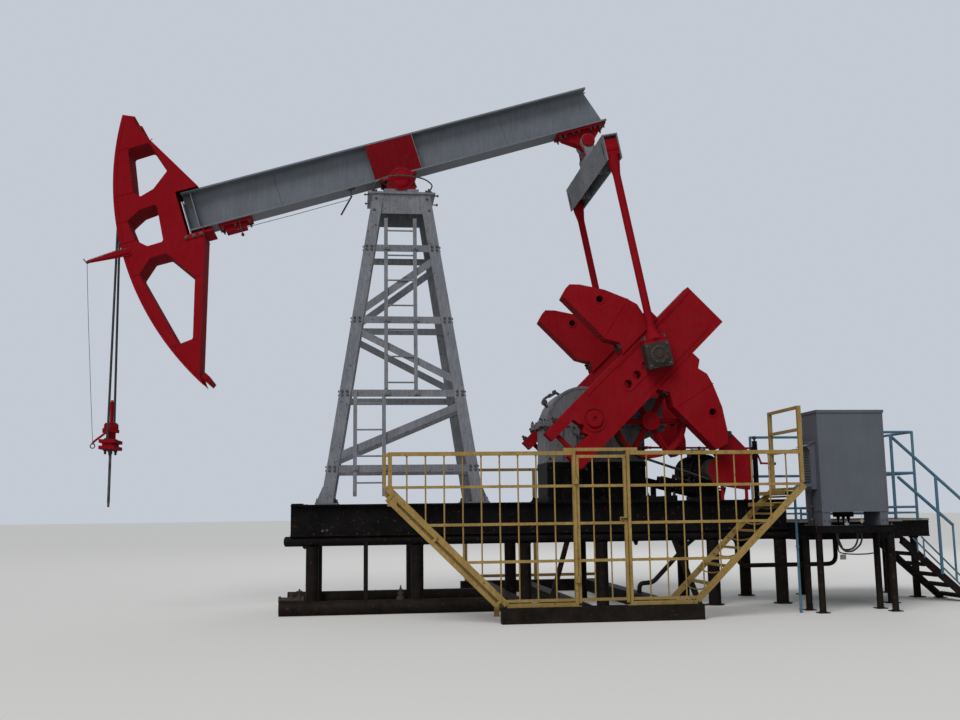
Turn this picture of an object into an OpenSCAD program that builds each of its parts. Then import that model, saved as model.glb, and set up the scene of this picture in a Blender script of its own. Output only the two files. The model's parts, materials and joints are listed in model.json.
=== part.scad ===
/* [Walking beam] */
// Height of the saddle bearing axis above the ground
saddle_h = 5250; // [5150:10:5350]
// Front arm, from the saddle axis to the face of the horsehead
front_arm = 3500; // [3400:10:3600]
// Rear arm, from the saddle axis to the tail bearing
rear_arm = 2500; // [2450:10:2550]
// Distance of the tail bearing below the beam line
tail_drop = 100; // [80:5:120]
// Depth of the beam
beam_h = 500; // [460:10:520]
// Width of the beam flanges
beam_w = 320; // [280:10:340]
// Flange thickness
flange_t = 20; // [14:1:26]
// Web thickness
web_t = 14; // [10:1:20]
// Height of the beam's underside above the saddle axis
beam_seat = 100; // [90:5:120]

/* [Horsehead] */
// Width over the two cheeks
head_w = 440; // [420:5:450]
// Thickness of cheeks and rim
head_t = 12; // [8:1:16]
// Height of the horn above the beam line
horn_h = 1718; // [1650:10:1740]
// Depth of the chin below the beam line
chin_h = 1785; // [1750:10:1820]
// Depth of the rope groove between the two cheeks
rope_groove = 56; // [40:1:60]
// Depth of the head in line with the beam
head_depth = 990; // [940:10:1040]

/* [Crank gear] */
// Distance of the crank shaft from the saddle axis
shaft_x = 2230; // [2200:5:2260]
// Height of the crank shaft above the ground
shaft_h = 2190; // [2160:5:2220]
// Radius of the crank shaft
shaft_r = 95; // [80:1:105]
// Crank angle above the horizontal at rest
crank_angle = 44.6; // [42:0.2:48]
// Pitman length, from the tail bearing to the wrist pin
pitman_len = 3000; // [2960:5:3040]
// Radius of the first wrist pin hole
hole_first = 590; // [570:5:610]
// Pitch of the wrist pin holes
hole_pitch = 155; // [140:1:160]
// Number of wrist pin holes
hole_count = 5; // [4:1:5]
// Hole that holds the wrist pin
pin_hole = 4; // [4:1:4]
// Radius of the wrist pin holes
hole_r = 50; // [40:1:55]
// Width of the crank
crank_w = 594; // [560:2:600]
// Length of the crank from the shaft to its tip
crank_tip = 1975; // [1940:5:1990]
// Thickness of the crank
crank_t = 180; // [150:5:190]
// Gap between each crank and the middle of the machine
crank_in = 720; // [715:1:740]
// Thickness of the counterweights
weight_t = 240; // [220:5:244]
// Reach of the counterweights along the crank
weight_len = 1480; // [1400:10:1500]

/* [Reducer] */
// Width of the gear housing
gear_w = 600; // [560:10:640]
// Length of the gear housing
gear_len = 1500; // [1460:10:1540]
// Distance of the housing's front from the crank shaft
gear_front = 475; // [465:5:490]
// Thickness of each joint flange of the housing
joint_t = 32; // [24:1:40]
// Radius of the round part of the gear cover
cover_r = 458; // [440:2:464]
// Length of the pedestal
pedestal_len = 1225; // [1200:5:1250]
// Height of the pedestal above the base beams
pedestal_h = 480; // [470:5:490]
// Distance between the slow shaft and the fast shaft
gear_centres = 750; // [740:5:760]
// Radius of the sheave
sheave_r = 435; // [410:5:445]
// Width of the sheave
sheave_w = 190; // [150:5:200]
// Radius of the fast shaft
fast_r = 45; // [35:1:55]

/* [Motor] */
// Distance from the sheave to the motor pulley
motor_dx = 790; // [770:5:810]
// Drop from the sheave to the motor pulley
motor_dz = 590; // [580:5:600]
// Slope of the motor mount
mount_slope = 14; // [12:0.5:15]
// Radius of the motor pulley
pulley_r = 125; // [100:5:140]
// Radius of the motor body
motor_r = 185; // [160:5:200]
// Length of the motor body
motor_len = 560; // [500:10:600]

/* [Post] */
// Half width of the post at its head
post_head_x = 355; // [340:5:370]
// Half depth of the post at its head
post_head_y = 325; // [315:5:340]
// Half width of the post at its feet
post_foot_x = 955; // [900:5:980]
// Half depth of the post at its feet
post_foot_y = 600; // [590:5:610]
// Width of the angle legs
leg_w = 135; // [120:5:145]
// Thickness of the angle legs
leg_t = 14; // [10:1:18]
// Depth of the horizontal and diagonal bars
brace_w = 85; // [70:5:95]

/* [Base] */
// Height of the base above the ground
base_top = 1235; // [1215:5:1255]
// Depth of the base beams
base_h = 360; // [340:5:370]
// Width of the base beams
base_w = 150; // [130:5:160]
// Distance of the base beams from the middle
base_y = 600; // [595:1:605]
// Length of the base in front of the saddle axis
base_front = 1290; // [1250:10:1330]
// Length of the base behind the saddle axis
base_rear = 4640; // [4600:10:4660]
// Radius of the deck pipes under the base
deck_r = 57; // [50:1:60]
// Radius of the piles
pile_r = 73; // [65:1:75]
// Size of the sleepers on the ground
sleeper = 160; // [140:5:165]

/* [Fences and stairs] */
// Distance of the side fences from the middle
fence_y = 2140; // [2100:5:2180]
// Height of the fence's top rail
fence_top = 1745; // [1700:5:1800]
// Fence bar pitch
bar_pitch = 188; // [160:2:220]
// Width of the fence stairs
stair_w = 800; // [760:10:820]
// Length of the platform behind the base
platform_len = 2000; // [1950:10:2050]
// Length of the landing beside the platform
landing_len = 1260; // [1240:10:1300]
// Width of the gate opening
gate_w = 545; // [520:5:560]

/* [Cabinet] */
// Width of the cabinet
cab_w = 770; // [740:10:800]
// Depth of the cabinet
cab_d = 400; // [360:10:420]
// Height of the cabinet body
cab_h = 1096; // [1060:2:1120]
// Height of the cabinet stand
stand_h = 930; // [910:5:960]

/* [Carrier] */
// Radius of the bridle ropes
rope_r = 14; // [12:1:15]
// Distance of each rope from the middle at the carrier
rope_y = 165; // [140:5:170]
// Distance of each rope from the middle on the horsehead
rope_in = 30; // [20:1:40]
// Arc of each rope on the horsehead at rest, in degrees
rope_wrap = 11.2; // [10:0.1:12.4]
// Height of the carrier at rest
carrier_h = 1915; // [1900:5:1960]
// Height of the polished rod's top at rest
rod_top = 2510; // [2400:10:2520]
// Height of the polished rod's lower end at rest
rod_low = 1240; // [1100:10:1300]
// Radius of the polished rod
rod_r = 16; // [12:1:18]
// Radius of the pin at the rod's lower end
rod_pin_r = 13; // [10:1:14]
// Length of the pin at the rod's lower end
rod_pin_len = 48; // [30:1:60]

/* [Hidden] */

red = "#8a1a20";
grey = "#7c7f84";
black = "#232427";
yellow = "#b9a05a";
blue = "#3f6276";
steel = "#4b4642";

// Places of the four pivots, with the tail bearing from the two arm lengths
crank_r = hole_first + (pin_hole - 1) * hole_pitch;
pin_x = shaft_x + crank_r * cos(crank_angle);
pin_z = shaft_h + crank_r * sin(crank_angle);
span_x = pin_x;
span_z = pin_z - saddle_h;
span = norm([span_x, span_z]);
tail_open = acos((rear_arm * rear_arm + span * span - pitman_len * pitman_len) / (2 * rear_arm * span));
tail_angle = atan2(span_z, span_x) + tail_open;
tail_x = rear_arm * cos(tail_angle);
tail_z = saddle_h + rear_arm * sin(tail_angle);
tilt = tail_angle + asin(tail_drop / rear_arm);
tail_u = sqrt(rear_arm * rear_arm - tail_drop * tail_drop);
pitman_tilt = atan2(pin_x - tail_x, tail_z - pin_z);

clear = 0.3;
fit = 0.1;
beam_top = beam_seat + beam_h;
beam_front = front_arm - 850;
end_t = 14;
crank_out = crank_in + crank_t;
weight_in = crank_in - (weight_t - crank_t) / 2;
weight_out = weight_in + weight_t;
wrist_in = max(crank_out, weight_out) + 10;
wrist_w = 160;
rod_y = wrist_in + wrist_w / 2;
deck_top = base_top - base_h;
pile_top = deck_top - 2 * deck_r;
gear_half = gear_w / 2;
gear_x = shaft_x - gear_front;
gear_end = gear_x + gear_len;
gear_floor = base_top + pedestal_h;
sheave_x = shaft_x + gear_centres;
sheave_in = gear_half + 160;
mount_h = 105;
motor_x = sheave_x + motor_dx;
motor_z = shaft_h - motor_dz;
fence_bottom = sleeper + 10;
fence_left_x = -220;
fence_right_x = 4210;
fence_low_left = 985;
fence_low_right = 2980;
gate_x = 1725;
stair_y = fence_y - stair_w;
stair_top = 1400;
saddle_shaft_r = 60;
tail_shaft_r = 45;
saddle_pad = 200;
rope_x = front_arm - rope_groove + rope_r + clear;
cab_x = 4515;
cab_y = 1870;

// A straight length between two points, with its own Z along the line
module along(p, q) {
    d = q - p;
    translate(p) rotate([asin(-d[1] / norm(d)), atan2(d[0], d[2]), 0]) children();
}

// A square bar between two points
module bar(p, q, w, h) {
    along(p, q) translate([-w / 2, -h / 2, 0]) cube([w, h, norm(q - p)]);
}

// A round pipe between two points
module pipe(p, q, r) {
    along(p, q) cylinder(r = r, h = norm(q - p), $fn = 40);
}

// A plate in the XZ plane between two distances along Y
module plate(y0, y1) {
    translate([0, y1, 0]) rotate([90, 0, 0]) linear_extrude(y1 - y0) children();
}

// A round disc or pin along Y
module disc(x, z, r, y0, y1) {
    translate([x, y0, z]) rotate([-90, 0, 0]) cylinder(r = r, h = y1 - y0, $fn = 64);
}

// The same piece on both sides of the machine
module both() {
    children();
    mirror([0, 1, 0]) children();
}

// An I section lying along X from 0 to its length, standing on Z = 0
module i_beam(length, h, w, tf, tw) {
    translate([0, -w / 2, 0]) cube([length, w, tf]);
    translate([0, -w / 2, h - tf]) cube([length, w, tf]);
    translate([0, -tw / 2, tf / 2]) cube([length, tw, h - tf]);
}

// The frames of the beam, the cranks and the equalizer at rest
module in_beam() {
    translate([0, 0, saddle_h]) rotate([0, -tilt, 0]) children();
}

module in_crank() {
    translate([shaft_x, 0, shaft_h]) rotate([0, -crank_angle, 0]) children();
}

module in_pitman() {
    translate([tail_x, 0, tail_z]) rotate([0, -pitman_tilt, 0]) children();
}

// Ground works

module ground_pipes() {
    color(black) both() difference() {
        translate([-1400, -(base_y + pile_r + sleeper / 2 + clear), sleeper / 2]) rotate([0, 90, 0])
            cylinder(r = sleeper / 2, h = 2560, $fn = 40);
        translate([-1450, -(base_y + pile_r + sleeper / 2 + clear), sleeper / 2]) rotate([0, 90, 0])
            cylinder(r = sleeper / 2 - 8, h = 2700, $fn = 40);
    }
    color(black) both() translate([fence_low_left - 60, -fence_y - 60, 0])
        cube([fence_low_right - fence_low_left + 120, 120, sleeper]);
}

sleeper_x = [1160, 1730, 2700];

module sleepers() {
    color(black) for (x = sleeper_x)
        translate([x, -fence_y + 60, 0]) cube([sleeper, 2 * fence_y - 120, sleeper]);
}

near_piles = [-1040, 160, 1420, 2340, 3700, 4540];

module piles() {
    color(black) for (x = near_piles) both()
        translate([x, -base_y, 0]) cylinder(r = pile_r, h = pile_top, $fn = 40);
    color(black) for (p = [[platform_x1 - 160, -180], [platform_x1 - 160, 560], [5300, 560], [landing_x1 - 130, -880]])
        translate([p[0], p[1], 0]) cylinder(r = 45, h = platform_z, $fn = 40);
}

module deck_pipes() {
    color(black) both() translate([-base_front - 50, -base_y, deck_top - deck_r]) rotate([0, 90, 0])
        cylinder(r = deck_r, h = base_front + base_rear + 50, $fn = 40);
}

module base_beams() {
    color(black) both() translate([-base_front, -base_y, deck_top])
        i_beam(base_front + base_rear, base_h, base_w, 18, 12);
}

cross_x = [-1270, -855, 775, 1640, 3080, 4285, 4540];

module cross_beams() {
    inner = base_y - base_w / 2;
    color(black) for (x = cross_x)
        translate([x, -inner, deck_top + 60]) cube([90, 2 * inner, base_h - 60]);
}

// Samson post

function leg_x(z) = post_foot_x + (post_head_x - post_foot_x) * (z - base_top) / (post_top - base_top);
function leg_y(z) = post_foot_y + (post_head_y - post_foot_y) * (z - base_top) / (post_top - base_top);
post_top = saddle_h - saddle_pad;
post_bars = [base_top + 412, base_top + 1307, base_top + 2207, base_top + 3114];

module leg_bar(sx, sy) {
    p = [sx * leg_x(base_top - 60), sy * leg_y(base_top - 60), base_top - 60];
    q = [sx * leg_x(post_top + 60), sy * leg_y(post_top + 60), post_top + 60];
    along(p, q) linear_extrude(norm(q - p)) scale([sx, sy])
        polygon([[0, 0], [-leg_w, 0], [-leg_w, -leg_t], [-leg_t, -leg_t], [-leg_t, -leg_w], [0, -leg_w]]);
}

module leg_set() {
    intersection() {
        for (sx = [-1, 1], sy = [-1, 1]) leg_bar(sx, sy);
        translate([-2 * post_foot_x, -2 * post_foot_y, base_top + 16])
            cube([4 * post_foot_x, 4 * post_foot_y, post_top - base_top - 16]);
    }
}

module samson_legs() {
    color(grey) leg_set();
    color(grey) for (sx = [-1, 1], sy = [-1, 1])
        translate([sx * (leg_x(base_top) - leg_w / 2) - 130, sy * (leg_y(base_top) - leg_w / 2 + 10) - 75, base_top])
            cube([260, 150, 16]);
}

module samson_bracing() {
    color(grey) bracing();
}

module bracing() {
    t = 8;
    difference() {
        union() {
            for (s = [-1, 1]) {
                for (z = post_bars) {
                    y = s * (leg_y(z) - leg_t - t / 2);
                    bar([-leg_x(z) + 20, y, z], [leg_x(z) - 20, y, z], brace_w, t);
                }
                brace(s, -570, post_bars[2] + 55, 430, post_bars[3] - 120, t);
                brace(s, -590, post_bars[2] - 112, 680, post_bars[1] + 136, t);
                brace(s, -840, post_bars[0] + 112, 725, post_bars[1] - 130, t);
            }
            for (s = [-1, 1]) {
                y = s * (leg_y(post_top - 130) - leg_t - t / 2);
                bar([-leg_x(post_top - 130) + 20, y, post_top - 130], [leg_x(post_top - 130) - 20, y, post_top - 130], 240, t);
            }
            for (s = [-1, 1], z = post_bars) {
                x = s * (leg_x(z) - leg_t - t / 2);
                bar([x, -leg_y(z) + 20, z], [x, leg_y(z) - 20, z], t, brace_w);
            }
        }
        leg_set();
    }
}

module brace(s, x0, z0, x1, z1, t) {
    bar([x0, s * (leg_y(z0) - leg_t - t / 2), z0], [x1, s * (leg_y(z1) - leg_t - t / 2), z1], brace_w, t);
}

module saddle_base() {
    color(grey) {
        translate([-420, -345, post_top]) cube([840, 690, 22]);
        both() translate([-215, -295, post_top + 22]) cube([430, 120, saddle_pad - 22 - 125]);
    }
}

module saddle_bearings() {
    color(red) difference() {
        both() {
            translate([-180, -290, saddle_h - 125]) cube([360, 110, 45]);
            intersection() {
                disc(0, saddle_h, 165, -290, -180);
                translate([-200, -300, saddle_h - 125]) cube([400, 200, 400]);
            }
            disc(0, saddle_h, 120, -304, -290);
        }
        disc(0, saddle_h, saddle_shaft_r + fit, -290, 290);
    }
}

module ladder(x0, x1, z0, z1, face) {
    y0 = -leg_y(z0) + leg_t - 12 - face;
    y1 = -leg_y(z1) + leg_t - 12 - face;
    for (x = [x0, x1]) bar([x, y0, z0], [x, y1, z1], 45, 25);
    n = floor((z1 - z0) / 285);
    for (i = [1:n]) {
        f = (i - 0.5) / n;
        pipe([x0, y0 + (y1 - y0) * f, z0 + (z1 - z0) * f], [x1, y0 + (y1 - y0) * f, z0 + (z1 - z0) * f], 10);
    }
}

module ladders() {
    color(grey) difference() {
        union() {
            ladder(-195, 160, post_bars[1] - 30, post_bars[3] + 380, 0);
            ladder(-560, -222, base_top + 90, post_bars[1] + 30, 0);
        }
        bracing();
    }
}

// Reducer, motor and brake

module reducer_pedestal() {
    color(black) {
        translate([gear_x, -gear_half - 60, gear_floor - 60]) cube([pedestal_len, gear_w + 120, 60]);
        both() translate([gear_x, -gear_half - 40, base_top]) cube([pedestal_len, 60, pedestal_h - 60]);
        for (x = [gear_x, gear_x + pedestal_len / 2 - 30, gear_x + pedestal_len - 60]) {
            translate([x, -gear_half + 20, base_top]) cube([60, gear_w - 40, pedestal_h - 60]);
            translate([x, -base_y - 50, base_top]) cube([60, 2 * base_y + 100, 60]);
        }
        both() translate([gear_x - 50, -base_y - 50, base_top]) cube([pedestal_len + 100, 150, 24]);
    }
}

module reducer_housing() {
    body_end = gear_end - 265;
    color(grey) difference() {
        union() {
            plate(-gear_half, gear_half) polygon([[gear_x, gear_floor], [body_end, gear_floor], [body_end, shaft_h - 200],
                [gear_end, shaft_h - 90], [gear_end, shaft_h], [gear_x, shaft_h]]);
            translate([gear_x, -gear_half - 20, gear_floor]) cube([pedestal_len, gear_w + 40, 30]);
            translate([gear_x - 40, -gear_half - 20, shaft_h - joint_t]) cube([gear_len + 60, gear_w + 40, joint_t]);
            both() difference() {
                disc(shaft_x, shaft_h, shaft_r + 85, -gear_half - 50, -gear_half);
                translate([shaft_x - 300, -gear_half - 60, shaft_h]) cube([600, 70, 300]);
            }
        }
        disc(shaft_x, shaft_h, shaft_r + clear, -600, 600);
        disc(sheave_x, shaft_h, fast_r + clear, -600, 600);
    }
}

module reducer_cover() {
    color(grey) difference() {
        union() {
            translate([gear_x - 40, -gear_half - 20, shaft_h]) cube([gear_len + 60, gear_w + 40, joint_t]);
            intersection() {
                disc(shaft_x, shaft_h, cover_r, -gear_half, gear_half);
                translate([shaft_x - cover_r - 20, -gear_half - 20, shaft_h])
                    cube([2 * cover_r + 40, gear_w + 40, cover_r + 20]);
            }
            translate([shaft_x, -gear_half, shaft_h]) cube([gear_centres + 250, gear_w, cover_r - 140]);
            both() difference() {
                disc(shaft_x, shaft_h, shaft_r + 85, -gear_half - 50, -gear_half);
                translate([shaft_x - 300, -gear_half - 60, shaft_h - 300]) cube([600, 70, 300]);
            }
        }
        disc(shaft_x, shaft_h, shaft_r + clear, -600, 600);
        disc(sheave_x, shaft_h, fast_r + clear, -600, 600);
    }
}

module in_mount() {
    translate([motor_x, 0, motor_z]) rotate([0, mount_slope, 0]) children();
}

module motor_mount() {
    rail_z = -motor_r - 20 - mount_h;
    bar_z = min(base_top, motor_z - motor_r - mount_h - 75);
    reach = bar_z >= base_top ? base_y : bar_z + 60 > base_top - 18 ? base_y - base_w / 2 : base_y - 6;
    color(black) {
        in_mount() both() translate([-560, -360, rail_z]) cube([820, 60, mount_h]);
        for (x = [motor_x - 540, motor_x + 10]) {
            under = motor_z + rail_z / cos(mount_slope) - (x - motor_x) * tan(mount_slope);
            translate([x, -reach, bar_z]) cube([60, 2 * reach, 60]);
            both() translate([x, -360, bar_z]) cube([60, 60, under + 30 - bar_z]);
        }
    }
}

module motor() {
    color(black) {
        difference() {
            disc(motor_x, motor_z, motor_r, -motor_len / 2, motor_len / 2);
            disc(motor_x, motor_z, 24, -motor_len / 2 - 10, -motor_len / 2 + 160);
        }
        disc(motor_x, motor_z, motor_r + 15, motor_len / 2, motor_len / 2 + 110);
        in_mount() for (y = [-motor_len / 2 + 60, motor_len / 2 - 120])
            translate([-180, y - 60, -motor_r - 20]) cube([360, 120, 90]);
        in_mount() both() translate([-180, -360, -motor_r - 20]) cube([360, 60, 20]);
        in_mount() for (y = [-motor_len / 2 + 60, motor_len / 2 - 120])
            translate([-180, y < 0 ? -360 : y, -motor_r - 20]) cube([360, y < 0 ? y + 360 : 360 - y, 20]);
    }
}

// Loop of belts round the sheave and the pulley, with its tangent lines from the two radii
belt_run = norm([motor_dx, motor_dz]);
belt_dir = atan2(-motor_dz, motor_dx);

function belt_loop(r1, r2) =
    let (a = acos((r1 - r2) / belt_run))
    concat([for (i = [0:24]) let (t = belt_dir + a + (360 - 2 * a) * i / 24) [r1 * cos(t), r1 * sin(t)]],
           [for (i = [0:12]) let (t = belt_dir - a + 2 * a * i / 12)
               [motor_dx + r2 * cos(t), -motor_dz + r2 * sin(t)]]);

module v_belts() {
    color("#2b2b2c") translate([sheave_x, 0, shaft_h]) plate(-sheave_in - sheave_w + 20, -sheave_in - 20)
        difference() {
            polygon(belt_loop(sheave_r + 14, pulley_r + 14));
            polygon(belt_loop(sheave_r + 2, pulley_r + 2));
        }
}

guard_out = sheave_in + sheave_w + 12;

module belt_guard() {
    floor_z = base_top - motor_z;
    low_rear = max(-247, floor_z + 2);
    low_front = max(-176, floor_z + 4);
    pts = [[-112, 7], [180, 460], [458, 167], [407, low_rear], [-50, low_front]];
    color(red) translate([motor_x, 0, motor_z]) {
        plate(-guard_out - 6, -guard_out) polygon(pts);
        plate(-guard_out, -guard_out + 130) difference() {
            polygon(pts);
            offset(delta = -6) polygon(pts);
            polygon([[-400, -400], [0, -400], [0, -100], [150, 330], [170, 600], [-400, 600]]);
        }
        for (x = [40, 340]) translate([x, -guard_out, floor_z]) cube([40, 6, low_front + 26 - floor_z]);
        for (x = [40, 340]) translate([x, -guard_out, floor_z]) cube([40, 60, 6]);
    }
}

module brake_rod() {
    y = -(sheave_in - 24);
    elbows = [[2960, y, shaft_h - 310], [4350, y, shaft_h - 325], [4420, y, shaft_h - 510], [4580, y, shaft_h - 518]];
    color(red) {
        for (i = [0:2]) pipe(elbows[i], elbows[i + 1], 12);
        for (e = elbows) translate(e) sphere(r = 15.8, $fn = 32);
        translate([gear_end - 295, y - 14, shaft_h - 328]) cube([30, sheave_in - 10 - gear_half, 36]);
    }
    color(black) translate([4330, y - 42.2, base_top]) cylinder(r = 30, h = shaft_h - 255 - base_top, $fn = 40);
}

// Fences and stairs

function fence_left_edge(z) = z > stair_top ? fence_left_x
    : fence_left_x + (fence_low_left - fence_left_x) * (stair_top - z) / (stair_top - fence_bottom);
function fence_right_edge(z) = z > stair_top ? fence_right_x
    : fence_right_x - (fence_right_x - fence_low_right) * (stair_top - z) / (stair_top - fence_bottom);
function fence_floor(x) = x < fence_low_left
    ? fence_bottom + (stair_top - fence_bottom) * (fence_low_left - x) / (fence_low_left - fence_left_x)
    : x > fence_low_right
    ? fence_bottom + (stair_top - fence_bottom) * (x - fence_low_right) / (fence_right_x - fence_low_right)
    : fence_bottom;

fence_rails = [fence_bottom + 55, fence_bottom + 450, fence_bottom + 830, fence_bottom + 1215];

module fence_panel(x0, x1) {
    for (z = fence_rails) {
        a = max(x0, fence_left_edge(z));
        b = min(x1, fence_right_edge(z));
        translate([a, -fence_y - 14, z - 14]) cube([b - a, 28, 28]);
    }
    translate([x0, -fence_y - 20, fence_top - 40]) cube([x1 - x0, 40, 40]);
    n = floor((x1 - x0) / bar_pitch);
    for (i = [1:n - 1]) {
        x = x0 + (x1 - x0) * i / n;
        translate([x, -fence_y, fence_floor(x)]) cylinder(r = 8, h = fence_top - 40 - fence_floor(x), $fn = 12);
    }
}

gate_left = gate_x - 30;
gate_right = gate_x + gate_w + 30;

module fence_left() {
    color(yellow) {
        fence_panel(fence_left_x, gate_left);
        translate([fence_left_x, -fence_y - 20, stair_top]) cube([40, 40, fence_top - stair_top - 40]);
        bar([fence_left_x, -fence_y, stair_top - 30], [fence_low_left, -fence_y, fence_bottom + 20], 60, 40);
        translate([fence_low_left, -fence_y - 20, fence_bottom - 10]) cube([gate_left - fence_low_left, 40, 40]);
    }
}

module fence_right() {
    color(yellow) {
        fence_panel(gate_right, fence_right_x);
        translate([fence_right_x - 40, -fence_y - 20, stair_top]) cube([40, 40, fence_top - stair_top - 40]);
        bar([fence_low_right, -fence_y, fence_bottom + 20], [fence_right_x, -fence_y, stair_top - 30], 60, 40);
        translate([gate_right, -fence_y - 20, fence_bottom - 10]) cube([fence_low_right - gate_right, 40, 40]);
    }
}

hinge_x = gate_x + 4;
hinge_y = -fence_y - 46;
hinge_z = [fence_bottom + 250, fence_top - 320];

module gate_posts() {
    color(yellow) {
        for (x = [gate_left, gate_right - 30])
            translate([x, -fence_y - 30, fence_bottom - 10]) cube([30, 60, fence_top - fence_bottom + 10]);
        translate([gate_left - 90, -fence_y - 20, fence_top]) cube([gate_w + 240, 60, 34]);
        for (z = hinge_z) {
            translate([gate_left, hinge_y - 14, z - 20]) cube([48, 35, 20]);
            translate([hinge_x, hinge_y, z]) cylinder(r = 8, h = 46, $fn = 32);
        }
    }
}

module gate() {
    x0 = gate_x + 6;
    x1 = gate_x + gate_w - 6;
    color(yellow) {
        for (x = [x0, x1 - 30])
            translate([x, -fence_y - 15, fence_bottom + 20]) cube([30, 30, fence_top - fence_bottom - 60]);
        for (z = fence_rails) translate([x0, -fence_y - 14, z - 14]) cube([x1 - x0, 28, 28]);
        translate([x0, -fence_y - 15, fence_top - 70]) cube([x1 - x0, 30, 30]);
        for (i = [1:2])
            translate([x0 + (x1 - x0) * i / 3, -fence_y, fence_bottom + 50])
                cylinder(r = 8, h = fence_top - fence_bottom - 110, $fn = 12);
        for (z = hinge_z) difference() {
            union() {
                translate([hinge_x, hinge_y, z + clear]) cylinder(r = 14, h = 40, $fn = 32);
                translate([hinge_x, hinge_y, z + clear]) cube([24, 32, 40]);
            }
            translate([hinge_x, hinge_y, z - 5]) cylinder(r = 8 + fit, h = 60, $fn = 32);
        }
    }
}

module far_fence() {
    color(yellow) {
        for (z = [fence_bottom + 55, fence_bottom + 1050, fence_top - 20])
            translate([fence_low_left, fence_y - 20, z - 20]) cube([fence_low_right - fence_low_left, 40, 40]);
        for (x = [fence_low_left, fence_low_left + 1000, fence_low_right - 40])
            translate([x, fence_y - 20, sleeper]) cube([40, 40, fence_top - sleeper]);
    }
}

module stair(x0, x1, deep) {
    n = 6;
    intersection() {
        for (y = [-fence_y + 50, -stair_y]) bar([x0, y, fence_bottom], [x1, y, stair_top - 40], deep, 30);
        translate([min(x0, x1) - stair_top, -2 * fence_y, sleeper]) cube([abs(x1 - x0) + 2 * stair_top, 2 * fence_y, stair_top]);
    }
    translate([x0 - 31, -stair_y - 12, 0]) cube([58, 24, fence_bottom + 13]);
    for (i = [1:n], k = [-1, 0, 1]) {
        f = i / (n + 0.6);
        translate([x0 + (x1 - x0) * f + k * 42 - 9, -fence_y + 50, fence_bottom + (stair_top - 40 - fence_bottom) * f - 9])
            cube([18, stair_w - 50, 18]);
    }
}

module stair_left() {
    color(yellow) stair(fence_low_left, fence_left_x, 90);
}

module stair_right() {
    color(yellow) stair(fence_low_right, fence_right_x, 60);
}

module stair_rails() {
    top = stair_top + 820;
    color(yellow) difference() {
        union() {
            for (x = [fence_left_x, fence_right_x - 40])
                translate([x, -fence_y + 20, stair_top - 80]) cube([40, stair_w - 20, 30]);
            translate([fence_left_x, -stair_y - 20, stair_top - 80]) cube([40, 40, 80]);
            translate([fence_right_x - 40, -fence_y - 20, fence_top]) cube([40, 40, top - fence_top]);
            translate([fence_right_x - 40, -stair_y - 20, stair_top - 80]) cube([40, 40, top - stair_top + 80]);
            for (z = [top - 30, top - 270, top - 490])
                translate([fence_right_x - 40, -fence_y + 20, z]) cube([40, stair_w, 30]);
        }
        stair(fence_low_left, fence_left_x, 90);
        stair(fence_low_right, fence_right_x, 60);
    }
}

// Platform, access stair and cabinet

platform_x0 = base_rear;
platform_x1 = platform_x0 + platform_len;
landing_x1 = platform_x0 + landing_len;
platform_z = 755;
platform_t = 205;

module platform() {
    color(black) {
        translate([platform_x0, -280, platform_z]) cube([platform_len, 930, platform_t]);
        translate([platform_x0, -1000, platform_z]) cube([landing_len, 720, platform_t]);
    }
}

module platform_rails() {
    z = platform_z + platform_t;
    x1 = platform_x1 - 130;
    color(blue) {
        for (p = [[x1 - 470, -260], [x1, -260], [x1, 620], [5450, 620], [4700, 620]])
            pipe([p[0], p[1], z], [p[0], p[1], z + 1110], 17);
        for (h = [590, 1110]) {
            pipe([x1 - 470, -260, z + h], [x1, -260, z + h], 17);
            pipe([x1, -260, z + h], [x1, 620, z + h], 17);
            pipe([x1, 620, z + h], [4700, 620, z + h], 17);
        }
    }
}

module access_stair() {
    x = landing_x1;
    top = platform_z - 20;
    color(black) {
        for (y = [-960, -320]) bar([x, y, top], [x + 820, y, 0], 80, 40);
        for (i = [1:5]) translate([x + 140 * i, -940, top * (1 - (140 * i + 55) / 820) - 12]) cube([110, 600, 24]);
    }
    color(blue) {
        pipe([x - 60, -975, platform_z + platform_t], [x - 60, -975, 1970], 17);
        pipe([x + 470, -985, top * 350 / 820 - 24], [x + 470, -985, 1480], 17);
        pipe([x - 60, -975, 1970], [x + 860, -985, 1130], 17);
        pipe([x, -975, 1480], [x + 650, -985, 900], 17);
    }
}

module cabinet() {
    color(grey) {
        translate([cab_x, -cab_y, stand_h + 160]) cube([cab_w, cab_d, cab_h]);
        translate([cab_x - 10, -cab_y - 12, stand_h + 160 + cab_h]) cube([cab_w + 20, cab_d + 24, 14]);
        for (x = [cab_x + 8, cab_x + cab_w - 98])
            translate([x, -cab_y + 8, stand_h]) cube([90, cab_d - 16, 160]);
    }
}

module cabinet_hood() {
    color(grey) translate([cab_x - 60, -cab_y + 90, 1330]) cube([60, 220, 520]);
}

module cabinet_stand() {
    color(black) {
        for (x = [cab_x - 40, cab_x + cab_w + 20], y = [-cab_y + 30, -cab_y + cab_d - 30])
            translate([x, y, 0]) cylinder(r = 36, h = stand_h - 80, $fn = 32);
        translate([cab_x - 80, -cab_y - 6, stand_h - 80]) cube([cab_w + 150, cab_d + 12, 80]);
        for (x = [cab_x + 185, cab_x + 485])
            translate([x, -cab_y + cab_d - 10, stand_h - 70]) cube([60, cab_y - cab_d - 1000 + 10, 60]);
    }
}

// Walking beam and horsehead

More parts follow.
